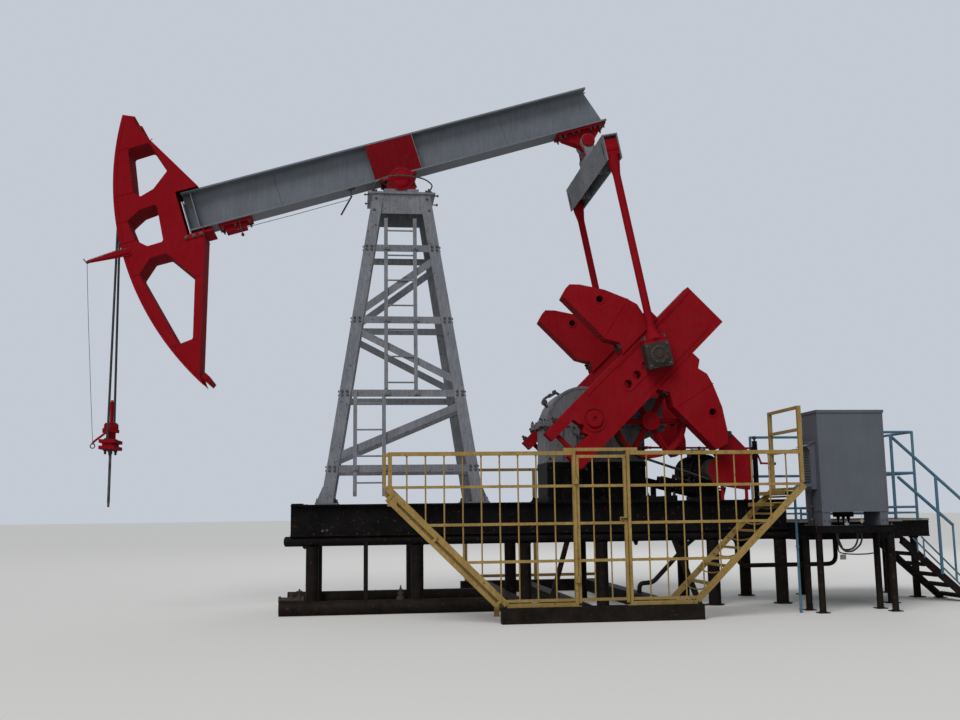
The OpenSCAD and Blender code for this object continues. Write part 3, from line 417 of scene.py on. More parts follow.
    def done(self):
        """Makes the piece and gives it to its body."""
        Shop.waiting.remove(self)
        bmesh.ops.transform(self.bm, matrix=self.space, verts=self.bm.verts)
        mesh = bpy.data.meshes.new(self.name)
        self.bm.to_mesh(mesh)
        self.bm.free()
        mesh.materials.append(finishes()[self.finish])
        mesh.shade_smooth()
        mesh.set_sharp_from_angle(angle=radians(40.0))
        piece = put(self.name, mesh)
        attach(piece, self.body)
        return piece


def finish_step():
    """Makes the pieces that are still open and ends the operator."""
    while Shop.waiting:
        Shop.waiting[0].done()
    return {"FINISHED"}


def lay_cord(name, points, radius, sides, pieces, body="frame"):
    """Makes a cord along its points."""
    line = Shop(name, "hose", body)
    line.tube(points, radius, sides)
    line.done()


def smooth_path(points, steps):
    """A smooth curve through the points."""
    points = [Vector(p) for p in points]
    out = []
    for p0, p1, p2, p3 in zip([points[0], *points], points, points[1:], [*points[2:], points[-1]]):
        for k in range(steps):
            s = k / steps
            out.append(0.5 * (2 * p1 + (p2 - p0) * s + (2 * p0 - 5 * p1 + 4 * p2 - p3) * s * s
                              + (3 * p1 - p0 - 3 * p2 + p3) * s * s * s))
    return [*out, points[-1]]


def round_corners(points, radius, steps):
    """A bent pipe's route: straight runs with rounded elbows."""
    points = [Vector(p) for p in points]
    out = [points[0]]
    for before, corner, after in zip(points, points[1:], points[2:]):
        a, b = before - corner, after - corner
        cut = min(radius, a.length * 0.49, b.length * 0.49)
        start, end = corner + a.normalized() * cut, corner + b.normalized() * cut
        for k in range(steps + 1):
            s = k / steps
            out.append((1 - s) ** 2 * start + 2 * s * (1 - s) * corner + s ** 2 * end)
    return [*out, points[-1]]


def colour(name, description, hex_value):
    return bpy.props.StringProperty(name=name, description=description, default=hex_value)


def length(name, description, default, low, high):
    return bpy.props.FloatProperty(name=name, description=description, default=default, min=low, max=high,
                                   subtype="DISTANCE", unit="LENGTH")


class PumpColours(bpy.types.PropertyGroup):
    """Colours of the enamels, as sRGB hex values."""
    red: colour("Red enamel", "Head, cranks, counterweights and rods", "#770d15")
    beam_grey: colour("Beam enamel", "Walking beam and equalizer", "#5c6066")
    post_grey: colour("Post enamel", "Legs, bracing and ladders", "#64666b")
    black: colour("Base paint", "Base beams, piles and platform", "#080809")
    ochre: colour("Fence enamel", "Fences, gate and stairs", "#846c3a")
    blue: colour("Handrail enamel", "Handrails of the platform", "#3c5f73")
    cabinet: colour("Cabinet coat", "Control cabinet", "#4e5158")


class PumpSizes(bpy.types.PropertyGroup):
    """Sizes of the small fittings that a user would change."""
    bolt: length("Bolt head", "Half the width of the frame's bolt heads", 0.018, 0.008, 0.03)
    nut: length("Large nut", "Half the width of the foundation and clamp nuts", 0.032, 0.015, 0.05)
    bead: length("Weld bead", "Radius of the weld beads", 0.006, 0.003, 0.012)
    cable: length("Cable", "Diameter of the cables under the cabinet", 0.028, 0.012, 0.04)


# The photograph's camera: its focal length and width in pixels, and the sensor's width in millimetres
FOCAL_PIXELS, PHOTO_WIDTH, SENSOR = 1045.0, 960.0, 36.0


def add_stage(scene):
    scene.view_settings.view_transform = "Standard"
    lens = bpy.data.cameras.new("Camera")
    lens.sensor_width = SENSOR
    lens.lens = FOCAL_PIXELS * SENSOR / PHOTO_WIDTH
    lens.clip_end = 500.0
    eye = put("Camera", lens)
    eye.matrix_world = Matrix(((0.993313, -0.003973, -0.115384, -0.5226), (-0.114752, -0.14391, -0.982915, -12.9067),
                               (-0.0127, 0.989583, -0.143404, 1.1339), (0, 0, 0, 1)))
    scene.camera = eye
    # A pale floor that runs far back, so that the horizon meets the pale world
    ground = bpy.data.meshes.new("floor")
    ground.from_pydata([(-90, -60, 0), (90, -60, 0), (90, 160, 0), (-90, 160, 0)], [], [(0, 1, 2, 3)])
    made, tree, shader, _ = material("pale studio floor")
    fill(tree, shader, {"Base Color": linear("#c9c7c3"), "Roughness": 0.9})
    ground.materials.append(made)
    put("floor", ground)
    world = bpy.data.worlds.new("studio")
    scene.world = world
    world.use_nodes = True
    # The sky that is seen is brighter than the light that it gives
    w = world.node_tree
    seen = add(w, "Math", {0: add(w, "LightPath", {}, "Is Camera Ray"),
                           1: add(w, "LightPath", {}, "Is Transmission Ray")}, operation="MAXIMUM")
    sky = add(w, "Mix", {0: seen, 6: linear("#c6ccd4"), 7: linear("#c3cad4")}, 2, data_type="RGBA")
    power = add(w, "MapRange", {"Value": seen, "To Min": 0.62, "To Max": 1.0})
    fill(w, w.nodes["Background"], {"Color": sky, "Strength": power})
    sun = bpy.data.lights.new("sky key", "SUN")
    sun.energy = 2.3
    sun.angle = radians(35)
    put("sky key", sun).rotation_euler = Vector((0.4, 0.62, -0.75)).to_track_quat("-Z", "Y").to_euler()
    for name, place, size, energy in (("fill", (-4.0, -17.0, 6.0), 9.0, 420.0),
                                      ("rim", (8.0, 13.0, 12.0), 10.0, 500.0)):
        lamp = bpy.data.lights.new(name, "AREA")
        lamp.size = size
        lamp.energy = energy
        holder = put(name, lamp)
        holder.location = place
        holder.rotation_euler = (Vector((1.2, 0, 2.6)) - Vector(place)).to_track_quat("-Z", "Y").to_euler()
    return finish_step()


class PUMP_OT_stage(bpy.types.Operator):
    """Sets the camera at the photograph's place, with a pale floor and soft studio light"""
    bl_idname = "pump.stage"
    bl_label = "Stage, light and camera"

    def execute(self, context):
        return add_stage(context.scene)


FINISH_OF = {
    "red": ("horsehead", "saddle_bearings", "saddle_block", "head_bracket", "tail_bracket", "pitmans", "carrier"),
    "red_worn": ("cranks", "counterweights", "crank_shaft", "sheave", "belt_guard", "brake_rod"),
    "red_painted_shade": ("beam_panels",),
    "beam": ("walking_beam",),
    "post": ("samson_legs", "samson_bracing", "saddle_base", "ladders", "equalizer"),
    "housing": ("reducer_housing", "reducer_cover"),
    "black": ("ground_pipes", "sleepers", "piles", "deck_pipes", "base_beams", "cross_beams", "reducer_pedestal",
              "motor", "motor_mount", "platform", "cabinet_stand", "access_stair"),
    "ochre": ("fence_left", "fence_right", "gate_posts", "far_fence", "stair_left", "stair_right", "stair_rails",
              "gate"),
    "blue": ("platform_rails",),
    "cabinet": ("cabinet", "cabinet_hood"),
    "cast": ("wrist_bearings", "motor_pulley"),
    "steel": ("polished_rod",),
    "rope": ("head_ropes", "bridle_ropes"),
    "rubber": ("v_belts",),
}


def add_finishes():
    made = finishes()
    for key, names in FINISH_OF.items():
        for name in names:
            piece = frame["nodes"][name]
            for place in piece.material_slots:
                place.material = made[key]
    return finish_step()


class PUMP_OT_finishes(bpy.types.Operator):
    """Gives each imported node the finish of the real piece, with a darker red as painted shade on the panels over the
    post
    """
    bl_idname = "pump.finishes"
    bl_label = "Finishes of the packed pieces"

    def execute(self, context):
        return add_finishes()


def row(start, end, count):
    """Evenly spaced places from one point to another."""
    start, end = Vector(start), Vector(end)
    return [start.lerp(end, i / max(1, count - 1)) for i in range(count)]


def circle(middle, axis, radius, count, turn=0.0):
    """Places round a circle in the plane square to an axis."""
    middle, axis = Vector(middle), Vector(axis).normalized()
    one = axis.orthogonal().normalized()
    two = axis.cross(one)
    return [middle + (one * cos(turn + 2 * pi * i / count) + two * sin(turn + 2 * pi * i / count)) * radius
            for i in range(count)]


def arc_x(height, radius=3.5):
    """How far ahead of the saddle the head's arc stands at a height."""
    return sqrt(radius * radius - height * height)


def head_point(inset, height):
    """A place on the head's cheek, measured in from the arc."""
    return inset - arc_x(height), height


def add_head(sizes):
    half = 0.22
    seams = Shop("head_seams", "red", "walking_beam", BEAM)
    lines = [((0.004, 1.292), (0.161, 1.292)), ((0.415, 1.305), (0.455, 1.33)), ((0.004, 0.735), (0.237, 0.735)),
             ((0.004, 0.404), (0.136, 0.404)), ((0.004, 0.148), (0.184, 0.148)), ((0.004, -0.274), (0.111, -0.274)),
             ((0.004, -1.228), (0.122, -1.236)), ((0.305, -1.221), (0.345, -1.235)), ((0.715, -0.48), (0.79, -0.468))]
    for side in (-1, 1):
        for a, b in lines:
            (x0, z0), (x1, z1) = head_point(*a), head_point(*b)
            seams.weld((x0, side * (half + 0.001), z0), (x1, side * (half + 0.001), z1), sizes.bead * 0.8)
        # The rim plate's edge shows as a bead along the arc
        arc = [head_point(0.045, 1.6 - 3.3 * i / 60) for i in range(61)]
        seams.tube([(x, side * (half + 0.0005), z) for x, z in arc], 0.004, 6)
    # Doubling plates round the beam pocket, with the bolts that hold the head
    pocket = Shop("head_pocket_plates", "red", "walking_beam", BEAM)
    for side in (-1, 1):
        pocket.prism([(-2.76, 0.045), (-2.5, 0.045), (-2.5, -0.02), (-2.74, -0.02)], "Y", side * half,
                     side * (half + 0.012))
    # The stop block at the end of the arc, under the chin
    chin = Shop("head_chin_block", "red", "walking_beam")
    chin.prism([(-2.394, 2.763), (-2.345, 2.822), (-2.268, 2.722), (-2.3, 2.677), (-2.332, 2.7055)], "Y", -0.226,
               0.226, 0.006)
    for side in (-1, 1):
        chin.turned((-2.328, side * 0.226, 2.752), (0, side, 0), [(0.024, -0.002), (0.024, 0.01), (0.018, 0.014)], 24)
    bolts = Shop("head_bolts", "zinc", "walking_beam", BEAM)
    for side in (-1, 1):
        bolts.bolts(row((-2.72, side * (half + 0.012), 0.012), (-2.54, side * (half + 0.012), 0.012), 3),
                    (0, side, 0), sizes.bolt, 0.014)
    bolts.bolts([(x, y, 0.0615) for x in (-2.28, -2.12, -1.94) for y in (-0.105, 0.105)], DOWN, sizes.bolt, 0.018, 0.02)
    # The slim arm in front of the near cheek, with its forked tip
    arm = Shop("head_arm", "red", "walking_beam", BEAM)
    arm.prism([(-3.4, 0.068), (-3.56, 0.078), (-3.9, 0.052), (-3.925, 0.046), (-3.925, 0.02), (-3.58, -0.012),
               (-3.4, -0.022)], "Y", -0.232, -0.222, 0.002)
    arm.bar((-3.42, -0.238, 0.02), (-3.91, -0.238, 0.034), 0.012, 0.022, 0.002)
    for i in range(7):
        x = -3.6 - 0.042 * i
        arm.rod((x, -0.236, 0.052 - 0.0035 * i), (x, -0.218, 0.052 - 0.0035 * i), 0.006, 10)
    tip = Shop("head_arm_tip", "cast", "walking_beam", BEAM)
    tip.rod((-3.915, -0.245, 0.03), (-3.915, -0.215, 0.03), 0.016, 16, bevel=0.002)
    tip.tube(smooth_path([(-3.915, -0.23, 0.035), (-3.935, -0.23, 0.05), (-3.945, -0.23, 0.085)], 5), 0.006, 8)
    clamps = Shop("head_rope_clamps", "red", "walking_beam", BEAM)
    for y in (-0.03, 0.03):
        angle = radians(27.0)
        x, z = -3.458 * cos(angle), 3.458 * sin(angle)
        clamps.turned((x, y, z), (sin(angle), 0, cos(angle)),
                      [(0.02, -0.04), (0.024, -0.035), (0.024, 0.045), (0.034, 0.05), (0.034, 0.075), (0.028, 0.08)],
                      20)
    return finish_step()


class PUMP_OT_head(bpy.types.Operator):
    """Adds the horsehead's welds, bolts, chin block, slim arm and rope clamps"""
    bl_idname = "pump.head"
    bl_label = "Horsehead fittings"

    def execute(self, context):
        return add_head(context.scene.pump_sizes)


def add_pull_cord():
    # It leaves the cheek, lies along the arm and hangs from its tip
    route = [(-3.43, -0.2245, 0.074), (-3.56, -0.2275, 0.0825), (-3.73, -0.2275, 0.07), (-3.89, -0.2275, 0.0575),
             (-3.916, -0.229, 0.045)]
    path = [BEAM @ p for p in smooth_path(route, 3)]
    start = BEAM @ Vector((-3.922, -0.23, 0.012))
    end = Vector((-3.64, -0.106, 1.982))
    for i in range(25):
        s = i / 24
        sway = 0.012 * sin(pi * s) + 0.006 * sin(9.0 * s) * s
        path.append(start.lerp(end, s) + Vector((-sway * 0.6 * (1 - s * s), 0.006 * sin(7 * s) * (1 - s), 0)))
    ring = Shop("pull_cord_ring", "cast", "walking_beam")
    ring.tube([path[-1] + Vector((0.026 * cos(a), 0, -0.026 + 0.026 * sin(a))) for a in angles(28)], 0.006, 10, True)
    lay_cord("pull_cord", path, 0.003, 8, [ring.done()], "walking_beam")
    return finish_step()


class PUMP_OT_pull_cord(bpy.types.Operator):
    """Hangs the thin pull cord from the arm's tip, with its ring"""
    bl_idname = "pump.pull_cord"
    bl_label = "Pull cord and ring"

    def execute(self, context):
        return add_pull_cord()


def add_carrier():
    red = Shop("carrier_clamp", "red", "carrier")
    red.block((-3.53, -0.064, 2.158), (-3.386, 0.064, 2.222), 0.006)
    red.block((-3.554, -0.03, 2.118), (-3.518, 0.03, 2.176), 0.005)
    red.turned((-3.458, 0, 2.222), UP, [(0.062, -0.002), (0.062, 0.01), (0.05, 0.02), (0.046, 0.022)], 28)
    for z in (1.915, 1.99):
        for x in (-3.55, -3.37):
            red.block((x, -0.16, z + 0.008), (x + 0.004, 0.16, z + 0.032), 0.001)
    lever = Shop("carrier_lever", "red_worn", "carrier")
    lever.rod((-3.478, -0.1, 2.128), (-3.64, -0.1, 1.999), 0.013, 18, bevel=0.003)
    lever.rod((-3.478, -0.118, 2.128), (-3.478, 0.0, 2.128), 0.018, 18, bevel=0.003)
    dark = Shop("carrier_rope_ends", "cast", "carrier")
    for y in (-0.11, 0.11):
        for x in (-3.493, -3.423):
            dark.rod((x, y, 1.92), (x, y, 1.858), 0.014, 14, bevel=0.003)
            dark.bolt((x, y, 1.915), DOWN, 0.022, 0.018)
            dark.bolt((x, y, 2.03), UP, 0.018, 0.016)
    dark.bolts([(x, y, 2.222) for x in (-3.513, -3.403) for y in (-0.045, 0.045)], UP, 0.011, 0.01)
    dark.ring((-3.64, -0.1, 1.99), FAR, 0.007, 0.016, 0.012, 18, 0.002)
    return finish_step()


class PUMP_OT_carrier(bpy.types.Operator):
    """Adds the carrier's clamp block, bolts, lever and the rope ends below it"""
    bl_idname = "pump.carrier"
    bl_label = "Carrier clamp and lever"

    def execute(self, context):
        return add_carrier()


def add_beam(sizes):
    beads = Shop("beam_welds", "beam", "walking_beam", BEAM)
    for side in (-1, 1):
        for z in (0.122, 0.578):
            for x0, x1 in ((-2.62, -0.32), (0.33, 2.72)):
                beads.weld((x0, side * 0.009, z), (x1, side * 0.009, z), sizes.bead)
        for x in (-1.5, 1.5, -2.545):
            beads.weld((x, side * 0.012, 0.125), (x, side * 0.012, 0.575), sizes.bead * 0.8)
    # Bare steel wire under the beam, held off it by two rods
    wire = Shop("beam_wire", "steel", "walking_beam", BEAM)
    wire.tube([(-2.118, -0.1, -0.019), (-1.4, -0.1, -0.024), (-0.665, -0.1, -0.02)], 0.004, 8)
    posts = Shop("beam_wire_posts", "cast", "walking_beam", BEAM)
    posts.bar((-2.06, -0.12, 0.1), (-2.066, -0.12, -0.1), 0.022, 0.012, 0.002)
    posts.rod((-2.066, -0.135, -0.104), (-2.066, -0.105, -0.104), 0.02, 16, bevel=0.003)
    posts.block((-2.1, -0.15, 0.084), (-2.02, -0.09, 0.1), 0.003)
    posts.bar((-0.62, -0.12, 0.092), (-0.66, -0.12, -0.01), 0.02, 0.01, 0.002)
    posts.rod((-0.64, -0.12, 0.01), (-0.838, -0.12, -0.19), 0.011, 14, bevel=0.002)
    posts.block((-0.665, -0.15, 0.086), (-0.575, -0.09, 0.1), 0.003)
    lip = Shop("beam_panel_edges", "beam", "walking_beam", BEAM)
    for side in (-1, 1):
        lip.block((0.306, side * 0.16, 0.122), (0.314, side * 0.1635, 0.578), 0.001)
    bolts = Shop("beam_bolts", "zinc", "walking_beam", BEAM)
    for x in (-0.2, -0.145, 0.145, 0.2):
        for y in (-0.125, 0.125):
            bolts.bolt((x, y, 0.07), DOWN, sizes.bolt, 0.018, 0.016)
    for x in (2.36, 2.44, 2.6, 2.66):
        for y in (-0.115, 0.115):
            bolts.bolt((x, y, 0.076), DOWN, sizes.bolt, 0.018, 0.016)
    return finish_step()


class PUMP_OT_beam(bpy.types.Operator):
    """Adds the beam's weld beads, edge plates and bolts, and the wire below it"""
    bl_idname = "pump.beam"
    bl_label = "Walking beam details"

    def execute(self, context):
        return add_beam(context.scene.pump_sizes)


def add_saddle(sizes):
    red = Shop("saddle_covers", "red")
    dark = Shop("saddle_bolts", "cast")
    z = SADDLE.z
    for side in (-1, 1):
        face = side * 0.304
        red.ring((0, side * 0.29, z), (0, side, 0), 0.121, 0.15, 0.01)
        red.turned((0, face, z), (0, side, 0),
                   [(0.105, 0), (0.105, 0.004), (0.098, 0.012), (0.07, 0.018), (0.02, 0.02)], 40)
        dark.bolts(circle((0, side * 0.3, z), (0, side, 0), 0.137, 8, 0.39), (0, side, 0), 0.011, 0.009)
        # Ribs from the housing down to its feet
        for x in (-0.15, 0.15):
            red.prism([(x * 0.7, z + 0.02), (x * 1.25, z - 0.078), (x * 0.7, z - 0.078)], "Y", side * 0.215,
                      side * 0.235, 0.002)
        dark.bolts([(x, side * 0.236, z - 0.08) for x in (-0.165, 0.165)], UP, sizes.nut * 0.8, 0.026, 0.03)
        # Screws that push the feet to and fro, in lugs on the top plate
        for x in (-1, 1):
            dark.block((x * 0.3, side * 0.205, 5.072), (x * 0.324, side * 0.265, 5.125), 0.004)
            dark.rod((x * 0.216, side * 0.235, 5.1), (x * 0.372, side * 0.235, 5.1), 0.009, 12)
            dark.bolt((x * 0.326, side * 0.235, 5.1), (x, 0, 0), 0.016, 0.014)
            dark.bolt((x * 0.372, side * 0.235, 5.1), (x, 0, 0), 0.014, 0.016, washer=False)
    top = Shop("post_head_screws", "cast")
    for x in (-1, 1):
        for place in ((x * 0.405, -0.285, 5.046), (x * 0.395, -0.285, 4.93)):
            top.rod(place, (place[0] + x * 0.055, place[1], place[2]), 0.008, 12)
            top.bolt((place[0] + x * 0.04, place[1], place[2]), (x, 0, 0), 0.015, 0.014)
    top.bolts([(x, y, 5.072) for x in (-0.34, 0.34) for y in (-0.3, 0.3)], UP, sizes.nut * 0.7, 0.022, 0.03)
    # The stiff grease hose that arches over the bearing
    path = smooth_path([(-0.345, -0.325, 5.09), (-0.335, -0.335, 5.16), (-0.3, -0.338, 5.2), (-0.188, -0.345, 5.262),
                        (-0.01, -0.35, 5.281), (0.168, -0.345, 5.268), (0.29, -0.338, 5.24), (0.372, -0.332, 5.18),
                        (0.372, -0.328, 5.135), (0.345, -0.32, 5.092)], 3)
    ends = Shop("saddle_hose_ends", "cast")
    for x, y in ((-0.345, -0.325), (0.345, -0.32)):
        ends.block((x - 0.028, y - 0.02, 5.072), (x + 0.028, y + 0.02, 5.092), 0.003)
        ends.turned((x, y, 5.088), UP, [(0.017, 0), (0.017, 0.012), (0.013, 0.016), (0.013, 0.03)], 6)
    lay_cord("saddle_grease_hose", path, 0.009, 12, [ends.done()])
    return finish_step()


class PUMP_OT_saddle(bpy.types.Operator):
    """Adds the saddle bearing's covers, bolts, adjusting screws and grease hose"""
    bl_idname = "pump.saddle"
    bl_label = "Saddle bearing fittings"

    def execute(self, context):
        return add_saddle(context.scene.pump_sizes)


POST_TOP = SADDLE.z - 0.2
BASE_TOP = 1.235
POST_BARS = (BASE_TOP + 0.412, BASE_TOP + 1.307, BASE_TOP + 2.207, BASE_TOP + 3.114)


def leg_x(z):
    """Half the post's length along the machine at a height."""
    return 0.955 + (0.355 - 0.955) * (z - BASE_TOP) / (POST_TOP - BASE_TOP)


def leg_y(z):
    """Half the post's width across the machine at a height."""
    return 0.6 + (0.325 - 0.6) * (z - BASE_TOP) / (POST_TOP - BASE_TOP)


def add_post(sizes):
    plates = Shop("post_foot_ribs", "post")
    nuts = Shop("post_nuts", "zinc")
    for sx in (-1, 1):
        for sy in (-1, 1):
            z = BASE_TOP + 0.016
            x, y = sx * (leg_x(z) + 0.002), sy * (leg_y(z) + 0.002)
            # A rib that stands in the outer corner of the foot plate
            plates.prism([(x, z), (x + sx * 0.055, z), (x + sx * 0.05, z + 0.02), (x - sx * 0.028, z + 0.2),
                          (x - sx * 0.03, z + 0.15)], "Y", y - sy * 0.06, y - sy * 0.072, 0.002)
            for dx in (-0.165, 0.045):
                place = (sx * (leg_x(z) + dx), sy * (leg_y(z) - 0.112), z)
                nuts.bolt(place, UP, sizes.nut * 0.62, 0.022, 0.028)
            # Bolts through the bars at each level
            for level in POST_BARS:
                px, py = leg_x(level), leg_y(level)
                nuts.bolts([(sx * (px - dx), sy * (py + 0.001), level + dz) for dx in (0.035, 0.095)
                            for dz in (-0.022, 0.022)], (0, sy, 0.07), 0.013, 0.01)
                nuts.bolts([(sx * (px + 0.001), sy * (py - 0.05), level + d) for d in (-0.022, 0.022)], (sx, 0, 0.15),
                           0.013, 0.01)
    # Stitch bolts along the head plate between the legs
    for sy in (-1, 1):
        for z in (POST_TOP - 0.21, POST_TOP - 0.06):
            for sx in (-1, 1):
                nuts.bolt((sx * (leg_x(z) - 0.05), sy * (leg_y(z) + 0.001), z), (0, sy, 0.07), 0.013, 0.01)
    # Clips that tie the ladder to the bars
    clips = Shop("ladder_clips", "post")
    for level, xs in ((POST_BARS[0], (-0.56, -0.222)), (POST_BARS[1], (-0.195, 0.16)), (POST_BARS[2], (-0.195, 0.16)),
                      (POST_BARS[3], (-0.195, 0.16))):
        for x in xs:
            y = -leg_y(level)
            clips.block((x - 0.036, y - 0.028, level - 0.024), (x + 0.036, y - 0.022, level + 0.024), 0.002)
            clips.bolt((x, y - 0.028, level), NEAR, 0.011, 0.009)
    return finish_step()


class PUMP_OT_post(bpy.types.Operator):
    """Adds the post's foot ribs, bolts and ladder clips"""
    bl_idname = "pump.post"
    bl_label = "Post feet, bolts and clips"

    def execute(self, context):
        return add_post(context.scene.pump_sizes)


def add_tail(sizes):
    u = sqrt(REAR_ARM ** 2 - TAIL_DROP ** 2)
    bolts = Shop("tail_bolts", "zinc", "walking_beam", BEAM)
    for x in (u - 0.315, u - 0.25, u + 0.23, u + 0.28):
        for y in (-0.105, 0.105):
            bolts.bolt((x, y, 0.07), DOWN, sizes.bolt, 0.02, 0.022)
    # Top of the equalizer below the tail pin, and the height of its slots
    top = -0.28
    slot_z = top - 0.15
    lugs = Shop("equalizer_bearing_caps", "red", "equalizer", PITMAN)
    for side in (-1, 1):
        lugs.turned((0, side * 0.165, 0), (0, side, 0),
                    [(0.086, 0), (0.086, 0.006), (0.08, 0.014), (0.05, 0.018), (0.015, 0.019)], 36)
        for sx in (-1, 1):
            lugs.prism([(sx * 0.068, -0.06), (sx * 0.092, -0.205), (sx * 0.068, -0.205)], "Y", side * 0.1,
                       side * 0.13, 0.002)
    ears = Shop("equalizer_cap_bolts", "cast", "equalizer", PITMAN)
    for side in (-1, 1):
        ears.bolts(circle((0, side * 0.176, 0), (0, side, 0), 0.062, 6), (0, side, 0), 0.01, 0.008, washer=False)
    for x in (-0.078, 0.078):
        for y in (-0.145, -0.05, 0.05, 0.145):
            ears.bolt((x, y, top + 0.076), UP, sizes.bolt * 0.8, 0.016, 0.01)
    edge = Shop("equalizer_edges", "post", "equalizer", PITMAN)
    for sx in (-1, 1):
        edge.weld((sx * 0.09, -1.095, top + 0.017), (sx * 0.09, 1.095, top + 0.017), sizes.bead * 0.7)
        for y in (-0.52, 0.52):
            edge.block((sx * 0.08, y - 0.005, top - 0.296), (sx * 0.01, y + 0.005, top), 0.001)
    # Raised oval plates round the slots at both ends of each side, and a dark plate inside each slot: painted shade in
    # the slot
    ovals = Shop("equalizer_slot_plates", "post", "equalizer", PITMAN)
    holes = Shop("equalizer_slots", "cast", "equalizer", PITMAN)
    for sx in (-1, 1):
        for y in (-1.01, 1.01):
            outer, inner = ([(y + w * cos(a), slot_z + (0.068 if sin(a) > 0 else -0.068) + w * sin(a))
                             for a in angles(28)] for w in (0.04, 0.022))
            ovals.prism(outer, "X", sx * 0.094, sx * 0.099, 0.001, holes=[inner])
            holes.prism([(y + (a - y) * 0.98, b) for a, b in inner], "X", sx * 0.0935, sx * 0.095, 0.0003)
    heads = Shop("pitman_heads", "red", "equalizer", PITMAN)
    rod_y = 1.02
    for side in (-1, 1):
        y = side * rod_y
        z = slot_z
        # Forged eye of the pitman with its pin through the equalizer's sides
        heads.turned((-0.078, y, z), REAR, [(0.07, 0), (0.074, 0.006), (0.074, 0.15), (0.07, 0.156)], 32)
        heads.turned((0, y, top - 0.47), UP, [(0.048, 0), (0.052, 0.03), (0.07, 0.13), (0.078, 0.235)], 28)
        heads.turned((0, y, -2.805), UP, [(0.104, 0), (0.1, 0.014), (0.076, 0.06), (0.058, 0.11), (0.047, 0.16)], 28)
        for sx in (-1, 1):
            heads.prism([(sx * 0.04, -2.7), (sx * 0.132, -2.8), (sx * 0.04, -2.8)], "Y", y - 0.008, y + 0.008, 0.002)
    pins = Shop("pitman_pins", "steel", "equalizer", PITMAN)
    for side in (-1, 1):
        for sx in (-1, 1):
            pins.turned((sx * 0.094, side * rod_y, slot_z), (sx, 0, 0),
                        [(0.03, 0), (0.03, 0.006), (0.026, 0.01)], 24)
    return finish_step()


class PUMP_OT_tail(bpy.types.Operator):
    """Adds the tail bearing's caps and bolts, the equalizer's slot plates and the pitman heads"""
    bl_idname = "pump.tail"
    bl_label = "Tail bearing and equalizer"

    def execute(self, context):
        return add_tail(context.scene.pump_sizes)


def add_wrist(sizes):
    cover = Shop("wrist_covers", "cast", "equalizer", PITMAN)
    bright = Shop("wrist_cover_bolts", "zinc", "equalizer", PITMAN)
    cap = Shop("wrist_cap_plates", "red", "equalizer", PITMAN)
    for side in (-1, 1):
        face = side * 1.124
        z = -3.0
        cover.turned((0, face, z), (0, side, 0), [(0.112, 0), (0.112, 0.004), (0.104, 0.01), (0.08, 0.012),
                                                  (0.074, 0.006), (0.05, 0.006), (0.044, 0.016), (0.01, 0.018)], 40)
        cover.ring((0, side * 1.1, z), (0, side, 0), 0.121, 0.142, 0.012)
        bright.bolts(circle((0, side * 1.133, z), (0, side, 0), 0.092, 8, 0.2), (0, side, 0), 0.011, 0.009)
        for sx in (-1, 1):
            for dz in (-0.118, 0.118):
                bright.bolt((sx * 0.118, side * 1.1, z + dz), (0, side, 0), 0.016, 0.014)
                # Cast lug at each corner of the housing
                cover.rod((sx * 0.132, side * 0.985, z + dz * 1.12), (sx * 0.132, side * 1.096, z + dz * 1.12), 0.024,
                          16, bevel=0.004)
        bright.bolts([(x, side * y, -2.8) for x in (-0.12, 0.12) for y in (0.965, 1.072)], UP, sizes.bolt, 0.02, 0.02)
        cap.prism([(-0.152, -2.8), (0.152, -2.8), (0.152, -2.815), (-0.152, -2.815)], "Y",
                  side * 1.0985, side * 1.1045, 0.001)
    return finish_step()


class PUMP_OT_wrist(bpy.types.Operator):
    """Adds the wrist bearings' covers, bolts and cap plates"""
    bl_idname = "pump.wrist"
    bl_label = "Wrist bearing covers"

    def execute(self, context):
        return add_wrist(context.scene.pump_sizes)


